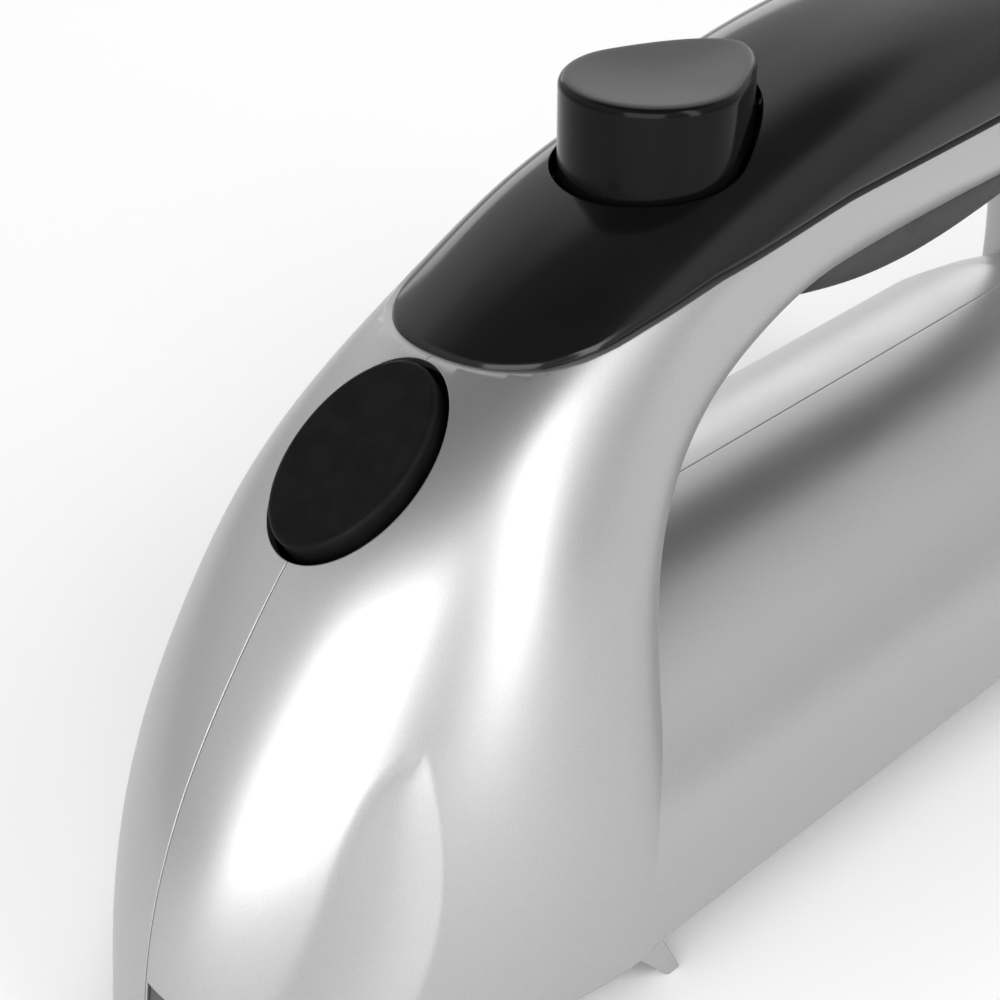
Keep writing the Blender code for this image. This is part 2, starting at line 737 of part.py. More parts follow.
def stator():
    """Laminated field core, open round the armature, with a coil on each side pole."""
    core = prism("stator_core", rectangle(0, 0, 18 * mm, 15 * mm, 6 * mm), ((0, 1), (20 * mm, 1)))
    core.rotation_euler = (math.pi / 2, 0, 0)
    core.location = (0, 26 * mm, SHAFT_Z)
    bake_transform(core)
    cut(core, cylinder("bore", ARMATURE_RADIUS + 0.6 * mm, 0, 40 * mm, (0, 0, SHAFT_Z), "Y", 32))
    for side in (1, -1):
        x0, x1 = sorted((side * 8.8 * mm, side * 14.6 * mm))
        for up in (1, -1):
            z0, z1 = sorted((SHAFT_Z + up * 6.5 * mm, SHAFT_Z + up * 11.5 * mm))
            cut(core, box("window", (x0, 0, z0), (x1, 40 * mm, z1)))
    material_for(core, "lamination")


def bake_transform(obj):
    bpy.context.view_layer.update()
    obj.data.transform(obj.matrix_world)
    obj.matrix_world.identity()
    bpy.context.view_layer.update()


def field_coils():
    """Each coil passes through two windows of the core and round its ends."""
    outline = ((3.0, 10.4), (28.6, 10.4), (31.5, 8.6), (31.5, -8.6))
    outline += ((28.6, -10.4), (3.0, -10.4), (0.2, -8.6), (0.2, 8.6))
    inner = ((5.4, 7.3), (26.6, 7.3), (28.4, 6.4), (28.4, -6.4))
    inner += ((26.6, -7.3), (5.4, -7.3), (3.2, -6.4), (3.2, 6.4))
    low_x, high_x = 10.2 * mm, 13.8 * mm
    for name, side in (("left_field_coil", 1), ("right_field_coil", -1)):
        rings = []
        for line, x in ((outline, low_x), (outline, high_x), (inner, high_x), (inner, low_x)):
            rings.append([(side * x, y * mm, SHAFT_Z + z * mm) for y, z in line])
        tube_loft(name, rings, "copper")


def brush_block(name, side, start, end, half_y, half_z):
    """A block that points at the commutator, its sizes in millimetres."""
    low, high = sorted((side * start * mm, side * end * mm))
    y0, y1 = (39 - half_y) * mm, (39 + half_y) * mm
    return box(name, (low, y0, SHAFT_Z - half_z * mm), (high, y1, SHAFT_Z + half_z * mm))


def brushes():
    for name, side in (("left_brush", 1), ("right_brush", -1)):
        carbon = brush_block(f"{name}_carbon", side, 6, 15, 2.0, 2.0)
        material_for(carbon, "carbon")
        holder = brush_block(f"{name}_holder", side, 8, 18, 3.3, 3.4)
        cut(holder, brush_block("room", side, 7, 16.5, 2.3, 2.3))
        material_for(holder, "brass")


def bearing(name, y):
    profile = (
        (SHAFT_RADIUS + GAP, y - 3 * mm),
        (5.5 * mm, y - 3 * mm),
        (5.5 * mm, y + 3 * mm),
        (SHAFT_RADIUS + GAP, y + 3 * mm),
    )
    revolve(name, profile, (0, 0, SHAFT_Z), "Y", 20, "brass", hollow=True)


def bracket(name, y, half_width, low, high):
    """An upright plate that holds one shaft bearing."""
    plate = box(name, (-half_width, y - 1.6 * mm, low), (half_width, y + 1.6 * mm, high))
    cut(plate, cylinder("seat", 5.5 * mm + GAP, y - 5 * mm, y + 5 * mm, (0, 0, SHAFT_Z), "Y", 24))
    material_for(plate, "dark_plastic")


def gearbox():
    """A frame under the worm wheels that carries both spindles."""
    frame = box("gearbox_frame", (-27.5 * mm, -88 * mm, 14 * mm), (27.5 * mm, -56 * mm, 17 * mm))
    for side in (1, -1):
        centre = (side * SPINDLE_X, SPINDLE_Y, 0)
        join(frame, cylinder("hub", 8 * mm, 12.5 * mm, 22 * mm, centre, "Z", 24))
        cut(frame, cylinder("hole", SPINDLE_RADIUS + GAP, 10 * mm, 25 * mm, centre, "Z", 24))
    material_for(frame, "dark_plastic")
    cap = box("gearbox_cap", (-26.5 * mm, -82 * mm, 35 * mm), (26.5 * mm, -58 * mm, 37.4 * mm))
    for side in (1, -1):
        centre = (side * SPINDLE_X, SPINDLE_Y, 0)
        cut(cap, cylinder("hole", SPINDLE_RADIUS + GAP, 30 * mm, 45 * mm, centre, "Z", 24))
    material_for(cap, "dark_plastic")


def ejector():
    plate = box("ejector_plate", (-24 * mm, -83 * mm, 43 * mm), (24 * mm, -65 * mm, 45 * mm))
    join(plate, box("post", (-4 * mm, -78 * mm, 44 * mm), (4 * mm, -72 * mm, 70 * mm)))
    material_for(plate, "white_nylon")


def spring(name, centre, radius, low, high, turns, kind="steel"):
    """A coil spring standing on z."""
    wire = 0.35 * mm
    per_turn = 8
    steps = turns * per_turn
    rings = []
    for i in range(steps + 1):
        angle = 2 * math.pi * i / per_turn
        z = low + wire + (high - low - 2 * wire) * i / steps
        ring = []
        for k in range(4):
            spin = 2 * math.pi * k / 4
            r = radius + wire * math.cos(spin)
            x = centre[0] + r * math.cos(angle)
            y = centre[1] + r * math.sin(angle)
            ring.append((x, y, z + wire * math.sin(spin)))
        rings.append(ring)
    loft(name, rings, kind)


def controls():
    """Switch and board inside the handle, and the springs under the buttons."""
    box("turbo_switch", (-6 * mm, -22 * mm, 88 * mm), (6 * mm, -4 * mm, 97 * mm), "dark_plastic")
    spring("turbo_spring", (0, -13 * mm), 3 * mm, 97.3 * mm, 101.7 * mm, 3)
    box("speed_board", (-14 * mm, 30 * mm, 94.5 * mm), (14 * mm, 84 * mm, 96.1 * mm), "board_green")
    box("speed_switch", (-9 * mm, 46 * mm, 96.4 * mm), (9 * mm, 78 * mm, 109.2 * mm), "dark_plastic")
    spring("eject_spring", (0, -74 * mm), 5.5 * mm, 37.7 * mm, 42.7 * mm, 3)
    box("cord_clamp", (-9 * mm, 84 * mm, 33 * mm), (9 * mm, 90 * mm, 39 * mm), "dark_plastic")


def build():
    clear_scene()
    housing()
    housing_screws()
    top_cover()
    bottom_cover()
    front_inlay()
    buttons()
    speed_slider()
    grip_pad()
    feet()
    cord_bush()
    spindle_gear("left_spindle_gear", 1)
    spindle_gear("right_spindle_gear", -1)
    armature_shaft()
    armature()
    cooling_fan()
    stator()
    field_coils()
    brushes()
    bearing("front_bearing", -44 * mm)
    bearing("rear_bearing", 52 * mm)
    bracket("front_bracket", -44 * mm, 22 * mm, 11 * mm, 40 * mm)
    bracket("rear_bracket", 52 * mm, 22 * mm, 11 * mm, 38 * mm)
    gearbox()
    ejector()
    controls()


build()
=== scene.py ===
"""Looks of the hand mixer: fine shells, cover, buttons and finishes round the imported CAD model.

Metres, +Z up, nose towards -Y, the mixer's left side at +X, the floor at z = 0.
"""

import json
import math

import bmesh
import bpy
import numpy as np
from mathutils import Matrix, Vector


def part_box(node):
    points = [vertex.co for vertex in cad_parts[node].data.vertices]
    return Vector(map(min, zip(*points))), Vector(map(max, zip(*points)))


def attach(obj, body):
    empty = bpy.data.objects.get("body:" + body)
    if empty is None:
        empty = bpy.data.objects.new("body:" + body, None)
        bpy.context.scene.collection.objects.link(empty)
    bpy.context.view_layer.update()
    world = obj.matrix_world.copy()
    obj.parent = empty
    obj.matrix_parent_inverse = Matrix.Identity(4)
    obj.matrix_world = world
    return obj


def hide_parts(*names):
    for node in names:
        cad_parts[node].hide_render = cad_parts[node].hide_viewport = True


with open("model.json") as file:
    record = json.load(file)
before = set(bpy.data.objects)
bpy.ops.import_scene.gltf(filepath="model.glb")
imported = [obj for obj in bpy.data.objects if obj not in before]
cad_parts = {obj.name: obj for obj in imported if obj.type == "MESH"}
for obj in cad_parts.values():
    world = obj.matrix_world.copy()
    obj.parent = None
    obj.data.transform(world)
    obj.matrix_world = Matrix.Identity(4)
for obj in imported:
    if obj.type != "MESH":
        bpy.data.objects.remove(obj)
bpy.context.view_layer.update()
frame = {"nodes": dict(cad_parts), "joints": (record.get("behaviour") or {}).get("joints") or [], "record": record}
BODY_OF = {
    node: body for body, members in frame["record"]["behaviour"]["bodies"].items() for node in members
}

mm = 0.001


def middle_of(node):
    """The middle of a CAD piece's box."""
    return [(low + high) / 2 for low, high in zip(*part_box(node))]


CORD_Z = middle_of("cord_bush")[2]
SPINDLE_X = middle_of("left_spindle_gear")[0]

# Overall form, as in the CAD model; BELOW is how far cutters reach under the base
WALL = 2.4 * mm
GAP = 0.3 * mm
BELOW = 10 * mm

# Arch of nose, front pillar, handle and rear pillar: the outer line y, z, the inner line y, z,
# the half width, where along the section it is widest, and the exponent of the section's curve.
ARCH = (
    (-121.7, 7.5, -30.0, 7.5, 38.3, 0.69, 1.76),
    (-119.2, 25.5, -31.0, 18.5, 38.0, 0.69, 1.78),
    (-112.2, 44.5, -32.0, 29.5, 36.0, 0.66, 1.88),
    (-100.2, 62.5, -32.0, 42.5, 33.0, 0.61, 2.0),
    (-86.2, 78.0, -30.5, 57.0, 29.5, 0.56, 2.1),
    (-68.2, 91.0, -24.5, 68.5, 25.5, 0.52, 2.25),
    (-48.2, 100.5, -15.5, 77.0, 23.0, 0.50, 2.5),
    (-28.0, 107.5, -6.0, 82.8, 22.3, 0.50, 2.9),
    (-6.0, 112.5, 4.0, 85.5, 22.0, 0.50, 3.0),
    (14.0, 116.5, 16.0, 86.0, 22.0, 0.50, 3.0),
    (45.0, 120.0, 45.0, 86.0, 22.0, 0.50, 3.0),
    (75.0, 119.0, 73.0, 85.5, 21.5, 0.50, 3.0),
    (98.0, 111.0, 93.5, 83.0, 20.5, 0.50, 2.8),
    (112.5, 93.5, 104.5, 74.0, 19.0, 0.50, 2.6),
    (118.2, 70.5, 108.0, 61.0, 18.0, 0.50, 2.5),
    (118.4, 47.5, 108.5, 46.5, 17.5, 0.50, 2.5),
    (116.5, 27.5, 106.0, 27.5, 17.5, 0.50, 2.5),
)
FAIR_SAMPLES = 2400
FAIR_WIDTH = 3.0 * mm

# The shell's sections carry extra points round this share of the way from outer to inner line
CROWD_SHARE = 0.29
CROWD_WIDTH = 0.055
CROWD_GAIN = 2.4

# Motor barrel: y, half width, top z, bottom z
BARREL = (
    (-58.0, 38.2, 52.0, 7.5),
    (97.0, 37.2, 52.0, 7.5),
    (107.0, 35.6, 50.8, 7.5),
    (114.0, 32.6, 47.3, 7.5),
    (117.8, 28.0, 42.5, 8.5),
    (118.8, 24.0, 38.5, 12.0),
)
BARREL_CENTRE_Z = 15 * mm
BARREL_CORNER = 1.2 * mm
BARREL_STRAIGHT_Y = 94 * mm

# Hollow in each nose flank: its rear edge sweeps forward as it goes down
SCOOP_EDGE_Y = -90 * mm
SCOOP_SWEEP = 11 * mm
SCOOP_LENGTH = 17.5 * mm
SCOOP_TOP_Z = 53 * mm
SCOOP_BOTTOM_Z = 8 * mm
SCOOP_DEPTH = 2.6 * mm
SCOOP_GAIN = 4.55

# Where the top cover meets the housing, as y, z
COVER_LINE = (
    (-140.0, 93.0),
    (-60.0, 94.3),
    (-55.0, 94.4),
    (-48.0, 95.2),
    (-40.0, 96.9),
    (-26.0, 99.5),
    (6.0, 102.1),
    (48.0, 102.7),
    (80.0, 101.5),
    (104.0, 97.5),
    (140.0, 89.5),
)
COVER_RIM = 1.8 * mm
COVER_FAN_FRONT_Y = -20 * mm
COVER_FAN_REAR_Y = 76 * mm
COVER_SPINE = 0.02
COVER_RIM_POINTS = 240

# Half of the parting gap, and the small fillet beside it: x, how far in from the surface
SEAM = ((0.045 * mm, 0.22 * mm), (0.065 * mm, 0.07 * mm), (0.13 * mm, 0.012 * mm))
SEAM_END = 0.32 * mm

# Screws along x, as y, z in mm: a boss in each half, the head on the right, the thread in the left.
# CROSS_BAR is half the width and half the length of each bar of the recess in the head.
SCREW_LINES = ((-101.0, 40.0), (-31.0, 84.5), (93.0, 22.0), (113.2, 65.0))
BOSS_RADIUS = 3.9 * mm
SCREW_RADIUS = 1.5 * mm
SCREW_HEAD_RADIUS = 2.8 * mm
SCREW_HEAD_X = -10 * mm
SCREW_TIP_X = 9 * mm
SCREW_PITCH = 1.6 * mm
SCREW_TURNS = 11
CROSS_BAR = (0.4 * mm, 1.7 * mm)

EJECT_TILT = math.radians(34.7)
EJECT_CENTRE = (0.0, -76.1 * mm, 83.1 * mm)
EJECT_HALF_WIDTH = 10.2 * mm
EJECT_HALF_LENGTH = 15.6 * mm
EJECT_PROUD = 3.0 * mm
EJECT_DEPTH = 9 * mm
EJECT_EDGE = 0.9 * mm
BUTTON_GAP = 1.2 * mm

TURBO_ROUND_Y = -15.0 * mm
TURBO_RADIUS = 13.8 * mm
TURBO_TIP_Y = 6.0 * mm
TURBO_TURN = math.radians(12)
TURBO_BLEND = 1.1 * mm
TURBO_DISH = 0.8 * mm
TURBO_EDGE = 1.5 * mm
TURBO_POINTS = 160

PAD_FRONT_Y = -12 * mm
PAD_REAR_Y = 94 * mm
PAD_HALF_WIDTH = 14.5 * mm
PAD_TOP_Z = 86.5 * mm
PAD_HANG = 11 * mm
PAD_POINTS = 72

# Speed slider: cap and ridge levels as z and size in mm
SLIDER_CAP = ((0, 0.3), (0.3, 0), (2.2, 0), (2.8, 0.25), (3.1, 0.7), (3.2, 1.2))
SLIDER_RIDGE = ((2.0, 0.55, 4.4), (3.7, 0.5, 4.3), (4.1, 0.3, 4.0), (4.2, 0.12, 3.8))
SLIDER_RIDGES = 6
SLIDER_RIDGE_PITCH = 2.1 * mm
SLIDER_HEIGHT = 4.2 * mm

# Patch at the foot of the nose, dark as painted shade of a recess: its edges, and the corners of its sloping top
# as x, z in mm
INLAY_NEAR_X = 0.7 * mm
INLAY_FAR_X = 10 * mm
INLAY_SIDE_Z = 13 * mm
INLAY_TOP_Z = 20.2 * mm
INLAY_SLOPE = ((7.0, 16.2), (4.0, 18.4))
INLAY_FRONT_Y = -131 * mm
INLAY_REAR_Y = -111.3 * mm

# Tapered lug, in mm: z, front y, rear y, how far it leans out, how far its sides are drawn in
LUG = (
    (10.5, -61.0, -55.0, 0.0, 0.0),
    (7.5, -59.7, -53.2, 0.0, 0.0),
    (0.5, -53.0, -49.9, 1.2, 0.0),
    (0.0, -52.2, -50.4, 1.3, 0.5),
)
LUG_X = 33.25
LUG_HALF_WIDTH = 3.75
LUG_CORNER = 0.6

VENTS = 6
VENT_FIRST_Y = 31.5 * mm
VENT_PITCH = 7 * mm
SPINDLE_Y = -74 * mm
SPINDLE_HOLE = 6.4 * mm
FOOT_X = 22 * mm
FOOT_Y = 90 * mm
DIMPLE_CENTRE = (-25.0 * mm, -90.5 * mm, 51.0 * mm)
DIMPLE_RADIUS = 2.6 * mm
CORD_HOLE_RADIUS = 5.3 * mm
CORD_BORE_RADIUS = 3.4 * mm

SHARP_ANGLE = math.radians(35)

# Camera and light: angles in degrees, the sky as pairs of height and brightness, where the
# height is 0 at the horizon and below it, and 1 overhead
CAMERA_AIM = Vector((-0.0202, -0.0254, 0.0478))
CAMERA_AZIMUTH = 42
CAMERA_ELEVATION = 30
CAMERA_DISTANCE = 0.400
CAMERA_LENS = 90
LIGHT_AIM = Vector((0, -0.03, 0.05))
SKY = ((0.0, 0.62), (0.28, 0.85), (0.5, 1.0), (0.7, 0.95), (0.82, 0.2), (1.0, 0.12))


# Form ---------------------------------------------------------


def cubic_through(knots, values, where):
    """A natural cubic spline through the values at the knots."""
    n = len(knots)
    step = np.diff(knots)
    slope = np.diff(values) / step
    system = np.eye(n)
    right = np.zeros(n)
    for i in range(1, n - 1):
        system[i, i - 1 : i + 2] = step[i - 1], 2 * (step[i - 1] + step[i]), step[i]
        right[i] = 6 * (slope[i] - slope[i - 1])
    bend = np.linalg.solve(system, right)
    i = np.clip(np.searchsorted(knots, where) - 1, 0, n - 2)
    a = (knots[i + 1] - where) / step[i]
    b = (where - knots[i]) / step[i]
    curve = ((a**3 - a) * bend[i] + (b**3 - b) * bend[i + 1]) * step[i] ** 2 / 6
    return a * values[i] + b * values[i + 1] + curve


def bell(sigma):
    """A bell-shaped window, three times its width to either side, and how far that reaches."""
    reach = int(3 * sigma)
    window = np.exp(-0.5 * (np.arange(-reach, reach + 1) / sigma) ** 2)
    return window / window.sum(), reach


def faired(values, sigma):
    """The same samples with short waves smoothed out and both ends kept."""
    window, reach = bell(sigma)
    before = 2 * values[0] - values[reach:0:-1]
    after = 2 * values[-1] - values[-2 : -reach - 2 : -1]
    return np.convolve(np.concatenate([before, values, after]), window, "valid")


def arch_table():
    """The arch's rows as smooth columns against a share of its length from 0 to 1."""
    rows = np.array(ARCH)
    rows[:, :5] *= mm
    steps = np.linalg.norm(np.diff(rows[:, :2] + rows[:, 2:4], axis=0), axis=1)
    knots = np.concatenate([[0], np.cumsum(steps)])
    where = np.linspace(0, knots[-1], FAIR_SAMPLES)
    sigma = FAIR_WIDTH / (knots[-1] / 2 / FAIR_SAMPLES)
    columns = [faired(cubic_through(knots, column, where), sigma) for column in rows.T]
    return where / knots[-1], columns


ARCH_SHARE, ARCH_COLUMNS = arch_table()


def scoop_depth(y, z):
    """How deep the nose flank's hollow is: creased at its rear edge, fading out towards the nose."""
    height = np.clip((z - SCOOP_BOTTOM_Z) / (SCOOP_TOP_Z - SCOOP_BOTTOM_Z), 1e-6, 1 - 1e-6)
    edge = SCOOP_EDGE_Y - SCOOP_SWEEP * (1 - height) ** 2.4
    ahead = np.clip((edge - y) / (SCOOP_LENGTH * np.sqrt(1 - height**2)), 0, 1)
    return SCOOP_DEPTH * np.sin(np.pi * height) ** 0.6 * SCOOP_GAIN * ahead * (1 - ahead) ** 1.2


def arch_surface(share, phi, inset=0.0):
    """Points of the arch: share along it, phi round it from the outer line to the inner line."""
    share, phi = np.broadcast_arrays(share, phi)
    y0, z0, y1, z1, half, widest, power = (np.interp(share, ARCH_SHARE, c) for c in ARCH_COLUMNS)
    length = np.hypot(y1 - y0, z1 - z0)
    ty, tz = (y1 - y0) / length, (z1 - z0) / length
    middle = inset + (length - 2 * inset) * widest
    c, s = np.cos(phi), np.sin(phi)
    radius = (np.abs(c) ** power + np.abs(s) ** power) ** (-1 / power)
    across = (half - inset) * radius * s
    reach = np.where(c > 0, middle - inset, length - inset - middle)
    along = middle - reach * radius * c
    y, z = y0 + ty * along, z0 + tz * along
    if inset >= 0:
        across = across - np.sign(across) * np.minimum(np.abs(across), scoop_depth(y, z))
    return np.stack([across, y, z], axis=-1)


def arch_frame(share):
    """At a share along the arch: outer point, inner point and the unit way from one to the other."""
    y0, z0, y1, z1 = (np.interp(share, ARCH_SHARE, c) for c in ARCH_COLUMNS[:4])
    outer, inner = np.array([0, y0, z0]), np.array([0, y1, z1])
    return outer, inner, (inner - outer) / np.linalg.norm(inner - outer)


def cover_line(y):
    """Height of the joint between cover and housing."""
    ys, zs = np.array(COVER_LINE).T * mm
    return np.interp(y, ys, zs)


# Meshes -------------------------------------------------------


def in_scene(name, data):
    """A new object that shows the data."""
    obj = bpy.data.objects.new(name, data)
    bpy.context.scene.collection.objects.link(obj)
    return obj


def mesh_object(name, points, faces):
    """An object from points and faces, with every face turned outwards."""
    mesh = bpy.data.meshes.new(name)
    mesh.from_pydata([tuple(point) for point in points], [], faces)
    turned = bmesh.new()
    turned.from_mesh(mesh)
    bmesh.ops.recalc_face_normals(turned, faces=turned.faces)
    turned.to_mesh(mesh)
    turned.free()
    return in_scene(name, mesh)


def slim_cap(ring):
    """Faces across a slim ring, from each point to its mirror image."""
    half = len(ring) // 2
    quads = [[ring[i], ring[i + 1], ring[-i - 1], ring[-i]] for i in range(1, half - 1)]
    return quads + [[ring[0], ring[1], ring[-1]], ring[half - 1 : half + 2]]


def loft(name, rings, hollow=False, slim=False):
    """A closed solid through rings with equal point counts: capped, or its ends joined when hollow."""
    rings = np.asarray(rings, float)
    count, width = rings.shape[:2]
    index = np.arange(count * width).reshape(count, width)
    if hollow:
        index = np.vstack([index, index[:1]])
    beside = np.roll(index, -1, axis=1)
    quads = np.stack([index[:-1], beside[:-1], beside[1:], index[1:]], axis=-1)
    faces = quads.reshape(-1, 4).tolist()
    if slim:
        faces += slim_cap(index[0].tolist()) + slim_cap(index[-1].tolist())
    elif not hollow:
        faces += [index[0].tolist(), index[-1, ::-1].tolist()]
    return mesh_object(name, rings.reshape(-1, 3), faces)


def revolve(name, profile, centre, axis, segments, hollow=False):
    """A solid turned about a line through centre from (radius, height) pairs."""
    angle = np.linspace(0, 2 * math.pi, segments, endpoint=False)
    rings = []
    for radius, height in profile:
        level = np.full(segments, height)
        c, s = radius * np.cos(angle), radius * np.sin(angle)
        ways = {"X": (level, c, s), "Y": (s, level, c), "Z": (c, s, level)}
        rings.append(np.stack(ways[axis], axis=-1) + np.array(centre))
    return loft(name, rings, hollow)


def cylinder(name, radius, start, end, centre, axis, segments):
    """A round bar about a line through centre, from start to end along the axis."""
    return revolve(name, ((radius, start), (radius, end)), centre, axis, segments)


def ball(name, radius, centre):
    """A sphere."""
    mesh = bpy.data.meshes.new(name)
    sphere = bmesh.new()
    bmesh.ops.create_uvsphere(sphere, u_segments=32, v_segments=20, radius=radius)
    bmesh.ops.translate(sphere, verts=sphere.verts, vec=centre)
    sphere.to_mesh(mesh)
    sphere.free()
    return in_scene(name, mesh)


def box(name, low, high):
    """A block between two opposite corners."""
    (x0, y0, z0), (x1, y1, z1) = low, high
    return loft(name, [[(x0, y0, z), (x1, y0, z), (x1, y1, z), (x0, y1, z)] for z in (z0, z1)])


def prism(name, outline, levels):
    """An (x, y) outline carried through levels of z."""
    return loft(name, [[(x, y, z) for x, y in outline] for z in levels])


def boolean(obj, other, operation):
    """Combine another solid into the object's mesh, and delete that solid."""
    modifier = obj.modifiers.new(operation, "BOOLEAN")
    modifier.operation = operation
    modifier.solver = "EXACT"
    modifier.object = other
    bpy.context.view_layer.update()
    graph = bpy.context.evaluated_depsgraph_get()
    mesh = bpy.data.meshes.new_from_object(obj.evaluated_get(graph))
    obj.modifiers.clear()
    obj.data = mesh
    bpy.data.objects.remove(other, do_unlink=True)


def cut(obj, *cutters):
    """Take each cutter away from the object, in order."""
    for cutter in cutters:
        boolean(obj, cutter, "DIFFERENCE")


def join(obj, other):
    """Make one solid of the object and another that overlaps it."""
    boolean(obj, other, "UNION")


def copy_of(obj, name):
    """A twin with its own mesh."""
    twin = obj.copy()
    twin.data = obj.data.copy()
    twin.name = name
    bpy.context.scene.collection.objects.link(twin)
    return twin


def mirrored(obj, name):
    """A copy on the other side of x = 0, turned right side out."""
    twin = copy_of(obj, name)
    for vertex in twin.data.vertices:
        vertex.co.x = -vertex.co.x
    twin.data.flip_normals()
    return twin


def together(name, *parts):
    """One mesh object from several separate solids."""
    mesh = bpy.data.meshes.new(name)
    joined = bmesh.new()
    for part in parts:
        joined.from_mesh(part.data)
        bpy.data.objects.remove(part, do_unlink=True)
    joined.to_mesh(mesh)
    joined.free()
    return in_scene(name, mesh)


def finish_piece(obj, material, node):
    """Smooth shading with sharp edges kept, a finish, and its place on the CAD body."""
    obj.data.materials.clear()
    obj.data.materials.append(material)
    for polygon in obj.data.polygons:
        polygon.use_smooth = True
        polygon.material_index = 0
    obj.data.set_sharp_from_angle(angle=SHARP_ANGLE)
    weighted = obj.modifiers.new("weighted", "WEIGHTED_NORMAL")
    weighted.keep_sharp = True
    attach(obj, BODY_OF[node])
    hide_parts(node)


# Housing ------------------------------------------------------


def crowded_shares(points):
    """Shares from 0 to 1 that lie closer together round CROWD_SHARE."""
    density = 1 + CROWD_GAIN * np.exp(-(((np.linspace(0, 1, 400) - CROWD_SHARE) / CROWD_WIDTH) ** 2))
    walked = np.concatenate([[0], np.cumsum(density)]) / density.sum()
    return np.interp(np.linspace(0, 1, points), walked, np.linspace(0, 1, 401))


def half_arch(name, rings, points):
    """The left half of the arch, its flat face on the parting plane with a small fillet."""
    spread = crowded_shares(points)
    lofted = []
    for share in np.linspace(0, 1, rings):
        outer, inner, way = arch_frame(share)
        half = np.interp(share, ARCH_SHARE, ARCH_COLUMNS[4])
        start = SEAM_END / half
        phi = start + (math.pi - 2 * start) * spread
        side = arch_surface(share, phi)
        front = [outer + way * inset + np.array([x, 0, 0]) for x, inset in SEAM]
        back = [inner - way * inset + np.array([x, 0, 0]) for x, inset in reversed(SEAM)]
        lofted.append(np.vstack([front, side, back]))
    return loft(name, lofted)


def barrel_rows(inset):
    """Barrel sections: y, half width, top and bottom, close together where its end rounds off."""
    rows = np.array(BARREL) * mm
    ends = rows[1:]
    steps = np.linalg.norm(np.diff(ends[:, :3], axis=0), axis=1)
    knots = np.concatenate([[0], np.cumsum(steps)])
    where = np.linspace(0, knots[-1], 40)
    dense = np.stack([np.interp(where, knots, column) for column in ends.T], axis=1)
    for column in range(4):
        dense[:, column] = faired(dense[:, column], 2.2)
    straight = [np.array([y, *rows[0, 1:]]) for y in np.linspace(rows[0, 0], BARREL_STRAIGHT_Y, 12)]
    everything = np.vstack([straight, dense])
    everything[:, 0] -= np.where(everything[:, 0] > 0, inset, 0)
    return everything


def barrel_section(y, half, top, bottom, inset, below):
    """From the top centre round the left side to the bottom centre."""
    half = half - inset
    height = top - inset - BARREL_CENTRE_Z
    floor = bottom - below
    start = SEAM_END / half
    angles = np.linspace(math.pi / 2 - start, 0, 72)
    points = [(half * math.cos(a), y, BARREL_CENTRE_Z + height * math.sin(a)) for a in angles]
    corner = min(BARREL_CORNER, (BARREL_CENTRE_Z - floor) * 0.8)
    for z in np.linspace(BARREL_CENTRE_Z, floor + corner, 6)[1:-1]:
        points.append((half, y, z))
    for angle in np.linspace(0, math.pi / 2, 7):
        x = half - corner + corner * math.cos(angle)
        points.append((x, y, floor + corner - corner * math.sin(angle)))
    return points


def half_barrel(name):
    """The left half of the motor barrel, with the same fillet at the parting plane."""
    lofted = []
    for y, half, top, bottom in barrel_rows(0):
        side = barrel_section(y, half, top, bottom, 0, 0)
        seam = [(x, y, top - inset) for x, inset in SEAM]
        lofted.append(seam + side + [(SEAM[0][0], y, bottom)])
    return loft(name, lofted)


def inner_form(name, inset, rings, points):
    """The whole form set in by a wall, open below the base."""
    phi = np.linspace(0, 2 * math.pi, points, endpoint=False)
    lofted = [arch_surface(share, phi, inset) for share in np.linspace(0, 1, rings)]
    lofted.insert(0, lofted[0] - np.array([0, 0, BELOW]))
    form = loft(name, lofted)
    sections = []
    for y, half, top, bottom in barrel_rows(inset)[::3]:
        left = barrel_section(y, half, top, bottom, inset, BELOW)[::3]
        sections.append(left + [(-x, *rest) for x, *rest in reversed(left)])
    join(form, loft(name + "_barrel", sections))
    return form


def above_cover_line(name, drop):
    """Everything above the joint between cover and housing, lowered by drop."""
    ys = np.linspace(-0.14, 0.14, 57)
    line = [(y, z - drop) for y, z in zip(ys, cover_line(ys))]
    line += [(0.14, 0.15), (-0.14, 0.15)]
    return loft(name, [[(x, y, z) for y, z in line] for x in (-0.04, 0.04)])


def tilted_ellipse(name, grow, levels):
    """An oval plug square to the front slope, through (height, shrink) levels."""
    c, s = math.cos(EJECT_TILT), math.sin(EJECT_TILT)
    x0, y0, z0 = EJECT_CENTRE
    angle = np.linspace(0, 2 * math.pi, 96, endpoint=False)
    rings = []
    for height, shrink in levels:
        u = (EJECT_HALF_WIDTH + grow - shrink) * np.cos(angle)
        v = (EJECT_HALF_LENGTH + grow - shrink) * np.sin(angle)
        rings.append(np.stack([x0 + u, y0 + v * c - height * s, z0 + v * s + height * c], axis=-1))
    return loft(name, rings)


def inlay_region(name, grow):
    """The patch at the foot of the nose, beside the parting line, as a plug through the wall."""
    near, far = INLAY_NEAR_X - grow, INLAY_FAR_X + grow
    outline = [(near, -2 * mm), (far, -2 * mm), (far, INLAY_SIDE_Z + grow)]
    outline += [(x * mm, z * mm + grow) for x, z in INLAY_SLOPE]
    outline.append((near, INLAY_TOP_Z + grow))
    return loft(name, [[(x, y, z) for x, z in outline] for y in (INLAY_FRONT_Y, INLAY_REAR_Y)])


def lug(name):
    """A tapered lug below the bottom edge, leaning back and out, its edges a little rounded."""
    rings = []
    for z, front, rear, lean, drawn_in in LUG:
        half_x, half_y = LUG_HALF_WIDTH - drawn_in, (rear - front) / 2
        shape = rounded_rectangle(LUG_X + lean, (front + rear) / 2, half_x, half_y, LUG_CORNER, 3)
        rings.append([(x * mm, y * mm, z * mm) for x, y in shape])
    return loft(name, rings)


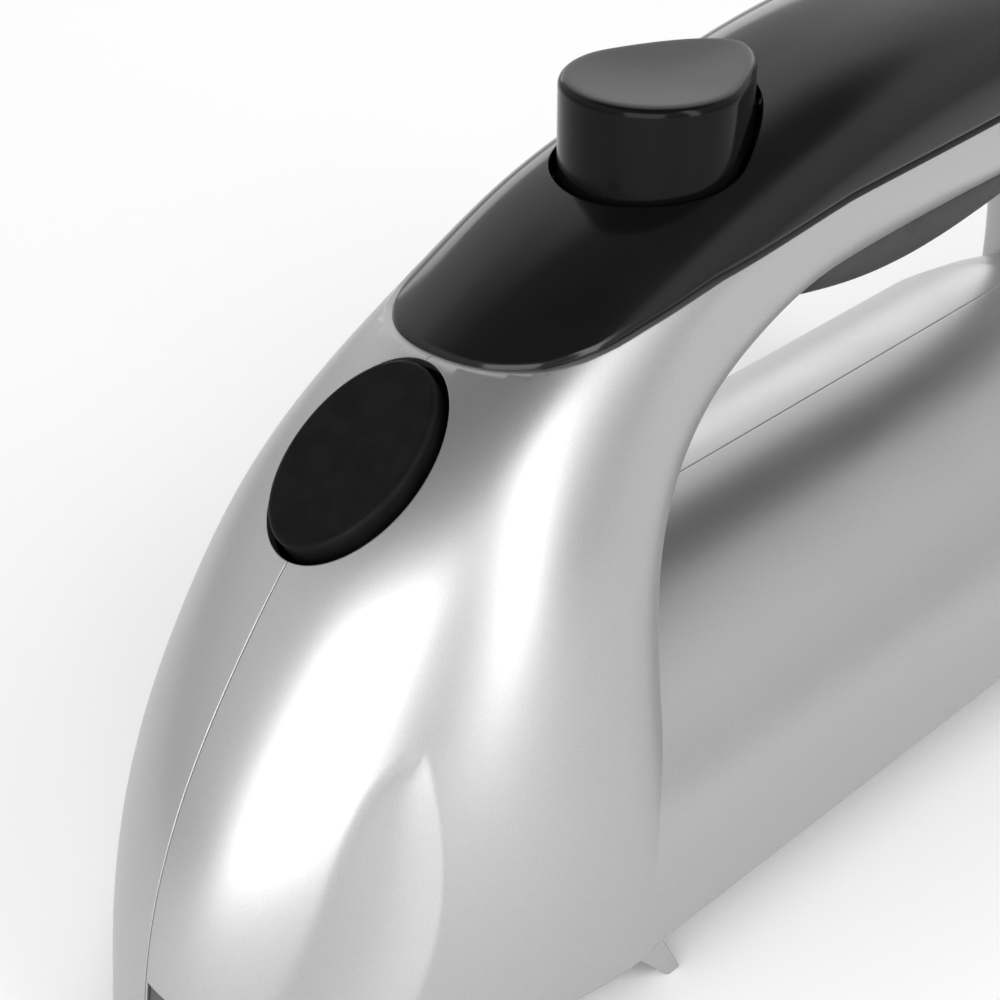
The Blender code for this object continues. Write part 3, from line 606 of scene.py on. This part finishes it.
def cavity_form():
    """The hollow inside both halves, with solid bosses left standing along the screws."""
    cavity = inner_form("cavity", WALL, 60, 40)
    bosses = [
        cylinder(f"boss_{i}", BOSS_RADIUS, -45 * mm, 45 * mm, (0, y * mm, z * mm), "X", 24)
        for i, (y, z) in enumerate(SCREW_LINES)
    ]
    cut(cavity, together("bosses", *bosses))
    return cavity


def screw_holes():
    """Pilot holes for the left half and stepped bores for the right half, along the screws."""
    hole, head_room = SCREW_RADIUS + GAP, SCREW_HEAD_RADIUS + GAP
    bore = ((head_room, -60 * mm), (head_room, SCREW_HEAD_X), (hole, SCREW_HEAD_X), (hole, 1 * mm))
    pilots, bores = [], []
    for i, (y, z) in enumerate(SCREW_LINES):
        centre = (0, y * mm, z * mm)
        pilots.append(cylinder(f"pilot_{i}", hole, -1 * mm, 11 * mm, centre, "X", 24))
        bores.append(revolve(f"bore_{i}", bore, centre, "X", 36))
    return together("pilots", *pilots), together("bores", *bores)


def housing():
    """Both half shells: one outer form, mirrored, then hollowed and drilled each for its side."""
    left = half_arch("left_shell", 210, 170)
    join(left, half_barrel("left_barrel"))
    cut(left, above_cover_line("cover_region", GAP))
    eject_hole = tilted_ellipse("eject_hole", BUTTON_GAP, ((-12 * mm, 0), (12 * mm, 0)))
    cord_hole = cylinder("cord_hole", CORD_HOLE_RADIUS, 105 * mm, 130 * mm, (0, 0, CORD_Z), "Y", 48)
    cut(left, together("holes", eject_hole, cord_hole))
    join(left, lug("left_lug"))
    right = mirrored(left, "right_shell")
    cavity = cavity_form()
    pilots, bores = screw_holes()
    cut(left, inlay_region("inlay_hole", GAP), copy_of(cavity, "left_cavity"), pilots)
    cut(right, cavity, bores, ball("dimple", DIMPLE_RADIUS, DIMPLE_CENTRE))
    finish_piece(left, silver_paint("left_shell_paint"), "left_housing")
    finish_piece(right, silver_paint("right_shell_paint"), "right_housing")


# Cover --------------------------------------------------------


def share_at_outer_y(y):
    """Where along the arch its outer line passes y."""
    return np.interp(y, ARCH_COLUMNS[0], ARCH_SHARE)


def above_line(share, phi):
    """How far a point of the arch is above the joint between cover and housing."""
    point = arch_surface(share, phi)
    return point[..., 2] - cover_line(point[..., 1])


def cover_ends():
    """Shares of the arch at the cover's front and rear ends, on the centre line."""
    share = np.linspace(0, 1, 20001)
    height = above_line(share, np.zeros(20001))
    inside = np.flatnonzero(height > 0)
    return share[inside[0]], share[inside[-1]]


def cover_rim(count):
    """The left side's rim from the front end to the rear end, as (share, phi)."""
    first, last = cover_ends()
    turn = np.linspace(0, math.pi, count)
    share = first + (last - first) * (1 - np.cos(turn)) / 2
    low, high = np.zeros(count), np.full(count, 2.2)
    for _ in range(50):
        middle = (low + high) / 2
        above = above_line(share, middle) > 0
        low = np.where(above, middle, low)
        high = np.where(above, high, middle)
    phi = (low + high) / 2
    phi[0] = phi[-1] = 0
    return share, phi


def cover_surface(share, phi, inset):
    """The arch's surface moved in along its own normal by inset."""
    e = 1e-4
    along = arch_surface(share + e, phi) - arch_surface(share - e, phi)
    around = arch_surface(share, phi + e) - arch_surface(share, phi - e)
    normal = np.cross(around, along)
    normal /= np.linalg.norm(normal, axis=-1, keepdims=True)
    point = arch_surface(share, phi)
    middle = arch_surface(share, np.full_like(phi, math.pi / 2)) * np.array([0, 1, 1])
    inward = np.sum(normal * (middle - point), axis=-1, keepdims=True)
    normal = np.where(inward > 0, normal, -normal)
    return point + normal * inset[..., None]


def cover_profile(length):
    """From the spine over the top, round the rim and back underneath, as (reach, inset)."""
    before_rim = 1 - COVER_RIM / length
    profile = [(f * before_rim, 0) for f in np.linspace(COVER_SPINE, 1, 70)[:-1]]
    for angle in np.linspace(0, math.pi / 2, 9):
        reach = 1 - COVER_RIM * (1 - math.sin(angle)) / length
        profile.append((reach, COVER_RIM * (1 - math.cos(angle))))
    profile.append((np.ones_like(length), WALL))
    return profile + [(f * before_rim, WALL) for f in np.linspace(1, COVER_SPINE, 24)[1:]]


def slider_slot():
    """The opening in the cover along which the speed slider's stem travels."""
    low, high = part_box("speed_slider")
    travel = next(j for j in frame["joints"] if j["name"] == "speed_slide")["range_m"][1]
    centre_y = (low.y + high.y + travel) / 2
    slot = rounded_rectangle(0, centre_y, 4 * mm, travel / 2 + 6 * mm, 2 * mm, 8)
    return prism("slider_slot", slot, (0.1, 0.13))


def top_cover():
    """One shell that follows the arch, fanned out to its tongue and rounded along its rim."""
    share, phi = cover_rim(COVER_RIM_POINTS)
    share = np.concatenate([share, share[-2:0:-1]])
    phi = np.concatenate([phi, -phi[-2:0:-1]])
    core = np.clip(share, share_at_outer_y(COVER_FAN_FRONT_Y), share_at_outer_y(COVER_FAN_REAR_Y))
    flat = np.linspace(0, 1, 200)[:, None]
    line = arch_surface(core + flat * (share - core), flat * phi)
    length = np.linalg.norm(np.diff(line, axis=0), axis=-1).sum(axis=0)
    rows = [
        cover_surface(core + reach * (share - core), reach * phi, np.full_like(phi, inset))
        for reach, inset in cover_profile(length)
    ]
    cover = loft("handle_cover", rows, slim=True)
    hole = prism("turbo_hole", teardrop(BUTTON_GAP, TURBO_POINTS), (0.09, 0.13))
    cut(cover, together("openings", hole, slider_slot()))
    finish_piece(cover, gloss_black("cover_gloss"), "handle_top_cover")


# Buttons ------------------------------------------------------


def teardrop(grow, count):
    """The turbo button's outline: a round front drawn in to a small rounded tip behind."""
    radius = TURBO_RADIUS + grow
    tip = TURBO_TIP_Y + grow * 1.2
    x0 = radius * math.cos(TURBO_TURN)
    y0 = TURBO_ROUND_Y + radius * math.sin(TURBO_TURN)
    arc = np.linspace(TURBO_TURN, -math.pi - TURBO_TURN, 400)
    points = [(radius * math.cos(a), TURBO_ROUND_Y + radius * math.sin(a)) for a in arc]
    share = 1 - (1 - np.linspace(0, 1, 200)) ** 2
    flank = [(-x0 * (1 - u) ** 0.6 * (1 + 0.1 * u), y0 + (tip - y0) * u) for u in share]
    points += flank[1:] + [(-x, y) for x, y in flank[-2:0:-1]]
    return resampled(np.array(points), count, TURBO_BLEND)


def resampled(points, count, width):
    """A closed outline at even spacing, smoothed over the width given."""
    closed = np.vstack([points, points[:1]])
    walk = np.concatenate([[0], np.cumsum(np.linalg.norm(np.diff(closed, axis=0), axis=1))])
    fine = 1200
    where = np.linspace(0, walk[-1], fine, endpoint=False)
    even = np.stack([np.interp(where, walk, closed[:, k]) for k in range(2)], axis=1)
    window, reach = bell(width / (walk[-1] / fine))
    wrapped = np.vstack([even[-reach:], even, even[:reach]])
    smooth = [np.convolve(wrapped[:, k], window, "valid") for k in range(2)]
    return np.stack(smooth, axis=1)[:: fine // count]


def inset_outline(outline, distance):
    """The outline moved in along its own normals."""
    ahead = np.roll(outline, -1, axis=0) - np.roll(outline, 1, axis=0)
    normal = np.stack([-ahead[:, 1], ahead[:, 0]], axis=1)
    normal /= np.linalg.norm(normal, axis=1, keepdims=True)
    inward = np.sum(normal * (outline.mean(axis=0) - outline), axis=1).mean()
    return outline + normal * distance * math.copysign(1, inward)


def rounded_rectangle(cx, cy, half_x, half_y, corner, steps):
    """An (x, y) outline whose corners are quarter circles."""
    outline = []
    for turn, (sx, sy) in enumerate(((1, 1), (-1, 1), (-1, -1), (1, -1))):
        for k in range(steps + 1):
            angle = math.pi / 2 * (turn + k / steps)
            x = cx + sx * (half_x - corner) + corner * math.cos(angle)
            outline.append((x, cy + sy * (half_y - corner) + corner * math.sin(angle)))
    return np.array(outline)


def turbo_button():
    """The thumb button: straight walls, a rounded edge and a shallow dish on top."""
    low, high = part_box("turbo_button")
    outline = teardrop(0, TURBO_POINTS)
    levels = (low.z, low.z + 5 * mm, high.z - TURBO_EDGE - 4 * mm)
    rings = [(outline, z) for z in levels]
    for angle in np.linspace(0, math.radians(84), 9):
        drop = TURBO_EDGE * (1 - math.sin(angle))
        rings.append((inset_outline(outline, TURBO_EDGE * (1 - math.cos(angle))), high.z - drop))
    top = rings[-1][0]
    centre = top.mean(axis=0)
    for share in np.linspace(0.95, 0.04, 20):
        fall = TURBO_DISH * (1 - share**2) ** 1.2
        rings.append((centre + (top - centre) * share, high.z - fall))
    button = loft("thumb_button", [[(x, y, z) for x, y in ring] for ring, z in rings])
    finish_piece(button, button_satin_and_painted_sheen("thumb_button_satin_and_painted_sheen", centre), "turbo_button")


def eject_button():
    """The oval button: a plug with a rounded edge and a face that dips a little in the middle."""
    levels = [(-EJECT_DEPTH, 0), (EJECT_PROUD - EJECT_EDGE, 0)]
    for angle in np.linspace(0, math.pi / 2, 8)[1:]:
        height = EJECT_PROUD - EJECT_EDGE + EJECT_EDGE * math.sin(angle)
        levels.append((height, EJECT_EDGE * (1 - math.cos(angle))))
    levels += [(EJECT_PROUD - 0.02 * mm, 3 * mm), (EJECT_PROUD - 0.05 * mm, 6 * mm)]
    button = tilted_ellipse("oval_button", 0, levels)
    finish_piece(button, matt_black("oval_button_black"), "eject_button")


def slider_ridge(y, base):
    """One finger ridge across the slider cap."""
    rings = []
    for z, thick, wide in SLIDER_RIDGE:
        shape = rounded_rectangle(0, y, wide * mm, thick * mm, 0.11 * mm, 4)
        rings.append([(px, py, base + z * mm) for px, py in shape])
    return loft("ridge", rings)


def speed_slider():
    """A low slider cap with finger ridges on a stem through the cover's slot."""
    low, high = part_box("speed_slider")
    cy = (low.y + high.y) / 2
    half_x, half_y = (high.x - low.x) / 2, (high.y - low.y) / 2
    base = high.z - SLIDER_HEIGHT
    rings = []
    for z, shrink in SLIDER_CAP:
        shape = rounded_rectangle(0, cy, half_x - shrink * mm, half_y - shrink * mm, 2.4 * mm, 8)
        rings.append([(x, y, base + z * mm) for x, y in shape])
    slider = loft("speed_cap", rings)
    for i in range(SLIDER_RIDGES):
        join(slider, slider_ridge(cy + (i - (SLIDER_RIDGES - 1) / 2) * SLIDER_RIDGE_PITCH, base))
    stem = rounded_rectangle(0, cy, 3.4 * mm, 5 * mm, 1.5 * mm, 6)
    join(slider, prism("stem", stem, (low.z, base + 1 * mm)))
    finish_piece(slider, matt_black("speed_cap_black"), "speed_slider")


# Grip pad, feet and small parts -------------------------------


def pad_section(share):
    """One section of the pad: a lens that hangs below the handle's underside."""
    swell = min(1.0, math.sin(math.pi * min(max(share, 0.01), 0.99)) * 1.6) ** 0.8
    y = PAD_FRONT_Y + (PAD_REAR_Y - PAD_FRONT_Y) * share
    top = PAD_TOP_Z + 5 * mm * max(0.0, 1 - share * 9)
    angle = np.linspace(0, 2 * math.pi, PAD_POINTS, endpoint=False)
    c, s = np.cos(angle), np.sin(angle)
    hang = PAD_HANG * math.sin(math.pi * min(max(share, 0.01), 0.99)) ** 1.2 + 1.5 * mm
    drop = np.where(s > 0, 4 * mm, hang)
    return np.stack([PAD_HALF_WIDTH * swell * c, np.full(PAD_POINTS, y), top + drop * s], axis=-1)


def grip_pad():
    """The rubber pad, hollowed to fit round the handle's underside."""
    share = (1 - np.cos(np.linspace(0, math.pi, 90))) / 2
    pad = loft("rubber_grip", [pad_section(u) for u in share])
    phi = np.linspace(0, 2 * math.pi, 120, endpoint=False)
    rings = [arch_surface(u, phi, -GAP) for u in np.linspace(0.3, 0.85, 110)]
    cut(pad, loft("handle_room", rings))
    finish_piece(pad, rubber("grip_rubber_fine"), "handle_grip_pad")


def front_inlay():
    """A sheet just inside the nose's surface, its dark colour painted shade of a recessed pocket."""
    phi = np.linspace(-1.2, 1.2, 160)
    rings = []
    for share in np.linspace(0, 0.12, 60):
        outside = arch_surface(share, phi, 0.4 * mm)
        inside = arch_surface(share, phi[::-1], 2.0 * mm)
        rings.append(np.vstack([outside, inside]))
    inlay = loft("nose_inlay", rings)
    boolean(inlay, inlay_region("inlay_shape", 0), "INTERSECT")
    # The dark plastic colour here is painted shade, standing in for the shade inside a recessed pocket
    finish_piece(inlay, moulded("nose_inlay_painted_shade", DARK_PLASTIC), "front_inlay")


def plate_openings(floor_z):
    """Everything cut from the base plate: vents, spindle and foot holes, lug rooms and the panel."""
    openings = []
    for i in range(VENTS):
        y = VENT_FIRST_Y + VENT_PITCH * i
        slot = rounded_rectangle(0, y, 18 * mm, 1.5 * mm, 1.45 * mm, 8)
        openings.append(prism(f"vent_{i}", slot, (0, 0.02)))
    for side in (1, -1):
        spindle = (side * SPINDLE_X, SPINDLE_Y, 0)
        openings.append(cylinder("spindle_hole", SPINDLE_HOLE, 0, 0.02, spindle, "Z", 64))
        openings.append(cylinder("foot_hole", 3 * mm, 0, 0.02, (side * FOOT_X, FOOT_Y, 0), "Z", 32))
        x0, x1 = sorted((side * 28.6 * mm, side * 50 * mm))
        openings.append(box("lug_room", (x0, -62 * mm, 0), (x1, -51 * mm, 0.02)))
    panel = rounded_rectangle(0, -14 * mm, 21 * mm, 14 * mm, 3 * mm, 8)
    openings.append(prism("panel", panel, (0, floor_z + 0.5 * mm)))
    return together("plate_openings", *openings)


def spindle_collar(side, floor_z):
    """A low ring round a spindle hole, with its lower edges broken."""
    profile = (
        (SPINDLE_HOLE, floor_z + 2 * mm),
        (SPINDLE_HOLE, floor_z - 0.6 * mm),
        (6.7 * mm, floor_z - 0.9 * mm),
        (8.3 * mm, floor_z - 0.9 * mm),
        (8.8 * mm, floor_z - 0.4 * mm),
        (8.8 * mm, floor_z + 2 * mm),
    )
    return revolve("collar", profile, (side * SPINDLE_X, SPINDLE_Y, 0), "Z", 64, hollow=True)


def base_plate():
    """The plate that closes the underside: vents, spindle collars and a shallow blank panel."""
    low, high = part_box("bottom_cover")
    plate = inner_form("base_plate", WALL + GAP, 60, 48)
    slab = box("slab", (-0.06, -0.14, low.z), (0.06, 0.14, high.z))
    boolean(plate, slab, "INTERSECT")
    cut(plate, plate_openings(low.z))
    for side in (1, -1):
        join(plate, spindle_collar(side, low.z))
    finish_piece(plate, moulded("base_plate_plastic", DARK_PLASTIC), "bottom_cover")


def screw_profile():
    """A rounded head and a threaded shank, as (radius, x)."""
    r = SCREW_HEAD_RADIUS
    profile = [
        (r * 0.3, SCREW_HEAD_X - 2.7 * mm),
        (r * 0.62, SCREW_HEAD_X - 2.6 * mm),
        (r * 0.88, SCREW_HEAD_X - 2.2 * mm),
        (r, SCREW_HEAD_X - 1.5 * mm),
        (r, SCREW_HEAD_X - GAP - 0.2 * mm),
        (r - 0.2 * mm, SCREW_HEAD_X - GAP),
        (SCREW_RADIUS, SCREW_HEAD_X - GAP),
    ]
    for turn in range(SCREW_TURNS):
        x = SCREW_HEAD_X + 1 * mm + SCREW_PITCH * turn
        profile += [(SCREW_RADIUS - 0.3 * mm, x), (SCREW_RADIUS, x + SCREW_PITCH / 2)]
    return profile + [(SCREW_RADIUS * 0.3, SCREW_TIP_X)]


def screws():
    """Four screws, each with a cross recess in its head."""
    for i, (y, z) in enumerate(SCREW_LINES):
        y, z = y * mm, z * mm
        screw = revolve(f"screw_{i + 1}", screw_profile(), (0, y, z), "X", 48)
        for half_y, half_z in (CROSS_BAR, CROSS_BAR[::-1]):
            low = (SCREW_HEAD_X - 4 * mm, y - half_y, z - half_z)
            high = (SCREW_HEAD_X - 1.2 * mm, y + half_y, z + half_z)
            cut(screw, box("cross", low, high))
        finish_piece(screw, metal(f"screw_steel_{i + 1}", STEEL, 0.28), f"housing_screw_{i + 1}")


def feet():
    """Two rubber feet with rounded lower edges and a plug above."""
    for side in ("left", "right"):
        x, y, _ = middle_of(f"{side}_rear_foot")
        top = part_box(f"{side}_rear_foot")[1].z
        profile = [(2.2 * mm, 0.25 * mm), (3.2 * mm, 0.25 * mm), (3.5 * mm, 0)]
        for angle in np.linspace(0, math.pi / 2, 7):
            r = 3.8 * mm + 0.8 * mm * math.sin(angle)
            profile.append((r, 0.8 * mm * (1 - math.cos(angle))))
        profile += [(4.6 * mm, 6.9 * mm), (4.3 * mm, 7.2 * mm), (2.7 * mm, 7.2 * mm), (2.7 * mm, top)]
        foot = revolve(f"{side}_foot", profile, (x, y, 0), "Z", 56)
        finish_piece(foot, rubber(f"{side}_foot_rubber"), f"{side}_rear_foot")


def cord_bush():
    """The sleeve that the cord would leave through, with a rounded flange outside."""
    low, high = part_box("cord_bush")
    flange = high.y - 2.2 * mm
    profile = [(4.9 * mm, low.y), (4.9 * mm, flange), (6.4 * mm, flange), (6.6 * mm, flange + 0.3 * mm)]
    for angle in np.linspace(0, math.pi / 2, 7):
        profile.append((5.6 * mm + 1.0 * mm * math.cos(angle), high.y - 1.0 * mm * (1 - math.sin(angle))))
    profile += [(3.9 * mm, high.y), (CORD_BORE_RADIUS, high.y - 0.6 * mm), (CORD_BORE_RADIUS, low.y)]
    bush = revolve("cord_sleeve", profile, (0, 0, CORD_Z), "Y", 64, hollow=True)
    finish_piece(bush, rubber("cord_sleeve_rubber"), "cord_bush")


# Finishes -----------------------------------------------------

NYLON = (0.75, 0.74, 0.70)
COPPER = (0.72, 0.32, 0.16)
BRASS = (0.75, 0.56, 0.25)
STEEL = (0.55, 0.55, 0.56)
LAMINATION = (0.22, 0.22, 0.23)
DARK_PLASTIC = (0.06, 0.057, 0.058)
CARBON = (0.03, 0.03, 0.03)
BOARD_GREEN = (0.03, 0.16, 0.07)

# Roughness of the thumb button's wall and of its top
WALL_ROUGHNESS = 0.14
TOP_ROUGHNESS = 0.42


def new_material(name, colour, metallic, roughness):
    """A material and its shader, with the values that are uniform over the surface."""
    material = bpy.data.materials.new(name)
    material.use_nodes = True
    shader = material.node_tree.nodes["Principled BSDF"]
    shader.inputs["Base Color"].default_value = (*colour, 1)
    shader.inputs["Metallic"].default_value = metallic
    shader.inputs["Roughness"].default_value = roughness
    return material, shader


def add_node(material, kind, **settings):
    """A shader node with its properties set, or its inputs, whose names take _ for a space."""
    made = material.node_tree.nodes.new(kind)
    for key, value in settings.items():
        if hasattr(made, key):
            setattr(made, key, value)
        else:
            made.inputs[key.replace("_", " ")].default_value = value
    return made


def link(material, source, output, target, socket):
    """Join one node's output to another's input."""
    material.node_tree.links.new(source.outputs[output], target.inputs[socket])


def noise(material, scale, detail=3.0):
    """A noise fixed to the piece, in waves per metre."""
    place = add_node(material, "ShaderNodeTexCoord")
    made = add_node(material, "ShaderNodeTexNoise", Scale=scale, Detail=detail)
    link(material, place, "Object", made, "Vector")
    return made


def two_tones(material, low, dark, high, light):
    """A ramp from a dark tone at low to a light one at high."""
    ramp = add_node(material, "ShaderNodeValToRGB")
    first, last = ramp.color_ramp.elements
    first.position, last.position = low, high
    first.color, last.color = (*dark, 1), (*light, 1)
    return ramp


def mixed_colour(material, shader, source, dark, light):
    """Base colour that wanders between two close tones."""
    ramp = two_tones(material, 0.35, dark, 0.65, light)
    link(material, source, "Fac", ramp, "Fac")
    link(material, ramp, "Color", shader, "Base Color")


def map_range(material, from_min, from_max, to_min, to_max):
    """A node that maps one range of values on to another."""
    ranges = {"From_Min": from_min, "From_Max": from_max, "To_Min": to_min, "To_Max": to_max}
    return add_node(material, "ShaderNodeMapRange", **ranges)


def mixed_roughness(material, shader, source, low, high):
    """Roughness that wanders between two values."""
    spread = map_range(material, 0.3, 0.7, low, high)
    link(material, source, "Fac", spread, "Value")
    link(material, spread, "Result", shader, "Roughness")


def grained(material, shader, source, strength, distance, edge=0.0):
    """Bump from a grain, over edges rounded by the bevel shader where one is asked for."""
    bump = add_node(material, "ShaderNodeBump", Strength=strength, Distance=distance)
    link(material, source, "Fac", bump, "Height")
    if edge:
        bevel = add_node(material, "ShaderNodeBevel", samples=6, Radius=edge)
        link(material, bevel, "Normal", bump, "Normal")
    link(material, bump, "Normal", shader, "Normal")


def silver_paint(name):
    """Satin silver lacquer: fine metal flake under a soft, slightly uneven clear coat."""
    material, shader = new_material(name, (0.41, 0.41, 0.415), 0.85, 0.30)
    flake = noise(material, 9000, 1)
    mixed_colour(material, shader, flake, (0.375, 0.375, 0.38), (0.445, 0.445, 0.45))
    mixed_roughness(material, shader, noise(material, 60, 4), 0.32, 0.36)
    grained(material, shader, flake, 0.12, 0.00004, 0.25 * mm)
    shader.inputs["Coat Weight"].default_value = 0.15
    shader.inputs["Coat Roughness"].default_value = 0.25
    return material


def gloss_black(name):
    """Polished black moulding with the faint waviness and haze of real plastic."""
    material, shader = new_material(name, (0.010, 0.010, 0.011), 0.0, 0.12)
    mixed_colour(material, shader, noise(material, 40), (0.003, 0.003, 0.0032), (0.005, 0.005, 0.0053))
    mixed_roughness(material, shader, noise(material, 90, 5), 0.10, 0.15)
    grained(material, shader, noise(material, 120, 2), 0.05, 0.0001, 0.3 * mm)
    shader.inputs["Specular IOR Level"].default_value = 0.3
    return material


def matt_black(name):
    """Spark-eroded black plastic."""
    material, shader = new_material(name, (0.005, 0.005, 0.005), 0.0, 0.42)
    shader.inputs["Specular IOR Level"].default_value = 0.06
    mixed_colour(material, shader, noise(material, 300), (0.004, 0.004, 0.004), (0.006, 0.006, 0.006))
    mixed_roughness(material, shader, noise(material, 200, 4), 0.42, 0.5)
    grained(material, shader, noise(material, 5200, 2), 0.25, 0.00003)
    return material


def button_satin_and_painted_sheen(name, centre):
    """Gloss black wall under a satin top whose paler colour is painted sheen, and which carries the faint turning
    rings of its mould.
    """
    material, shader = new_material(name, (0.02, 0.02, 0.02), 0.0, 0.2)
    shader.inputs["Specular IOR Level"].default_value = 0.1
    place = add_node(material, "ShaderNodeTexCoord")
    shift = add_node(material, "ShaderNodeVectorMath", operation="SUBTRACT")
    shift.inputs[1].default_value = (centre[0], centre[1], 0)
    link(material, place, "Object", shift, 0)
    rings = add_node(material, "ShaderNodeTexWave", wave_type="RINGS", rings_direction="Z")
    rings.inputs["Scale"].default_value = 240
    rings.inputs["Distortion"].default_value = 0.4
    link(material, shift, "Vector", rings, "Vector")
    facing = add_node(material, "ShaderNodeNewGeometry")
    split = add_node(material, "ShaderNodeSeparateXYZ")
    link(material, facing, "Normal", split, "Vector")
    top = map_range(material, 0.8, 0.97, WALL_ROUGHNESS, TOP_ROUGHNESS)
    link(material, split, "Z", top, "Value")
    link(material, top, "Result", shader, "Roughness")
    # Faces turned up get a paler base colour than the wall: painted sheen on the button's top
    painted_top_sheen = two_tones(material, WALL_ROUGHNESS, (0.003, 0.003, 0.003), TOP_ROUGHNESS, (0.06, 0.058, 0.059))
    link(material, top, "Result", painted_top_sheen, "Fac")
    link(material, painted_top_sheen, "Color", shader, "Base Color")
    grained(material, shader, rings, 0.04, 0.00005)
    return material


def rubber(name):
    """Dull black rubber."""
    material, shader = new_material(name, (0.022, 0.021, 0.022), 0.0, 0.6)
    mixed_colour(material, shader, noise(material, 500), (0.019, 0.018, 0.019), (0.027, 0.026, 0.027))
    mixed_roughness(material, shader, noise(material, 120, 4), 0.55, 0.68)
    grained(material, shader, noise(material, 2600, 3), 0.3, 0.00006)
    return material


def moulded(name, colour, roughness=0.5):
    """A plain moulding with a fine grain."""
    material, shader = new_material(name, colour, 0.0, roughness)
    dark = [0.88 * c for c in colour]
    light = [min(1.0, 1.1 * c) for c in colour]
    mixed_colour(material, shader, noise(material, 250), dark, light)
    mixed_roughness(material, shader, noise(material, 160, 4), roughness - 0.05, roughness + 0.06)
    grained(material, shader, noise(material, 3800, 2), 0.2, 0.00004)
    return material


def metal(name, colour, roughness):
    """Bare metal with a drawn or turned grain."""
    material, shader = new_material(name, colour, 1.0, roughness)
    dark = [0.85 * c for c in colour]
    light = [min(1.0, 1.08 * c) for c in colour]
    mixed_colour(material, shader, noise(material, 400), dark, light)
    mixed_roughness(material, shader, noise(material, 900, 4), roughness - 0.06, roughness + 0.1)
    grained(material, shader, noise(material, 2700, 2), 0.15, 0.00002)
    return material


HIDDEN_FINISHES = (
    (metal, STEEL, 0.25, ("armature_shaft", "turbo_spring", "eject_spring")),
    (metal, LAMINATION, 0.42, ("armature_core",)),
    (metal, LAMINATION, 0.45, ("stator_core",)),
    (metal, COPPER, 0.35, ("front_winding", "rear_winding", "left_field_coil", "right_field_coil")),
    (metal, COPPER, 0.3, ("commutator",)),
    (metal, BRASS, 0.32, ("front_bearing", "rear_bearing")),
    (metal, BRASS, 0.35, ("left_brush_holder", "right_brush_holder")),
    (moulded, NYLON, 0.42, ("cooling_fan", "left_spindle_gear", "right_spindle_gear")),
    (moulded, NYLON, 0.45, ("ejector_plate",)),
    (moulded, CARBON, 0.7, ("left_brush_carbon", "right_brush_carbon")),
    (moulded, DARK_PLASTIC, 0.5, ("front_bracket", "rear_bracket", "gearbox_frame", "gearbox_cap")),
    (moulded, DARK_PLASTIC, 0.5, ("cord_clamp",)),
    (moulded, DARK_PLASTIC, 0.45, ("turbo_switch", "speed_switch")),
    (moulded, BOARD_GREEN, 0.4, ("speed_board",)),
)


def finish_hidden_parts():
    """Finishes for the pieces inside, which keep their CAD meshes."""
    for kind, colour, roughness, names in HIDDEN_FINISHES:
        for name in names:
            slot = frame["nodes"][name].material_slots[0]
            slot.material = kind(name + "_finish", colour, roughness)


# Studio -------------------------------------------------------


def floor():
    """A pale disc, 3 m in radius, that barely glows so it stays white at a distance."""
    slab = cylinder("floor", 3, -0.02, 0, (0, 0, 0), "Z", 64)
    material, shader = new_material("floor_paint", (0.9, 0.9, 0.9), 0.0, 0.6)
    mixed_colour(material, shader, noise(material, 3), (0.895, 0.895, 0.895), (0.905, 0.905, 0.905))
    shader.inputs["Emission Color"].default_value = (1, 1, 1, 1)
    shader.inputs["Emission Strength"].default_value = 0.03
    slab.data.materials.append(material)


def direction(azimuth, elevation):
    """The way out from the mixer, in degrees from its nose towards its left side, and up."""
    azimuth, elevation = math.radians(azimuth), math.radians(elevation)
    level = math.cos(elevation)
    return Vector((math.sin(azimuth) * level, -math.cos(azimuth) * level, math.sin(elevation)))


def soft_light(name, azimuth, elevation, distance, size, power):
    """A rectangular soft box that looks at the mixer."""
    data = bpy.data.lights.new(name, "AREA")
    data.shape = "RECTANGLE"
    data.size, data.size_y = size
    data.energy = power
    lamp = in_scene(name, data)
    away = direction(azimuth, elevation)
    lamp.location = LIGHT_AIM + away * distance
    lamp.rotation_euler = away.to_track_quat("Z", "Y").to_euler()
    return lamp


def studio_world():
    """Brightest half-way up and dark overhead, as in a light tent with a black ceiling."""
    world = bpy.data.worlds.new("studio")
    world.use_nodes = True
    nodes, links = world.node_tree.nodes, world.node_tree.links
    place = nodes.new("ShaderNodeTexCoord")
    split = nodes.new("ShaderNodeSeparateXYZ")
    ramp = nodes.new("ShaderNodeValToRGB")
    levels = ramp.color_ramp.elements
    levels[0].position, levels[1].position = SKY[0][0], SKY[-1][0]
    for height, _ in SKY[1:-1]:
        levels.new(height)
    for level, (_, brightness) in zip(levels, SKY):
        level.color = (brightness, brightness, brightness, 1)
    links.new(place.outputs["Generated"], split.inputs["Vector"])
    links.new(split.outputs["Z"], ramp.inputs["Fac"])
    links.new(ramp.outputs["Color"], nodes["Background"].inputs["Color"])
    bpy.context.scene.world = world


def studio():
    """Floor, lights and surroundings, shown without a film curve."""
    floor()
    soft_light("strip", 90, 20, 0.9, (0.2, 1.2), 4.2)
    soft_light("front", 30, 16, 0.9, (0.76, 0.8), 7.4)
    soft_light("back_left", -138, 14, 1.2, (1.2, 0.3), 1.6)
    fill = soft_light("fill", -140, 62, 1.2, (0.8, 0.8), 3)
    fill.visible_glossy = False
    studio_world()
    bpy.context.scene.view_settings.view_transform = "Standard"


def camera():
    """A long lens from the front left, a little above."""
    data = bpy.data.cameras.new("camera")
    data.lens = CAMERA_LENS
    data.sensor_width = 36
    data.clip_start = 0.01
    eye = in_scene("camera", data)
    back = direction(CAMERA_AZIMUTH, CAMERA_ELEVATION)
    eye.location = CAMERA_AIM + back * CAMERA_DISTANCE
    eye.rotation_euler = back.to_track_quat("Z", "Y").to_euler()
    bpy.context.scene.camera = eye


camera()
housing()
top_cover()
turbo_button()
eject_button()
speed_slider()
grip_pad()
front_inlay()
base_plate()
screws()
feet()
cord_bush()
finish_hidden_parts()
studio()
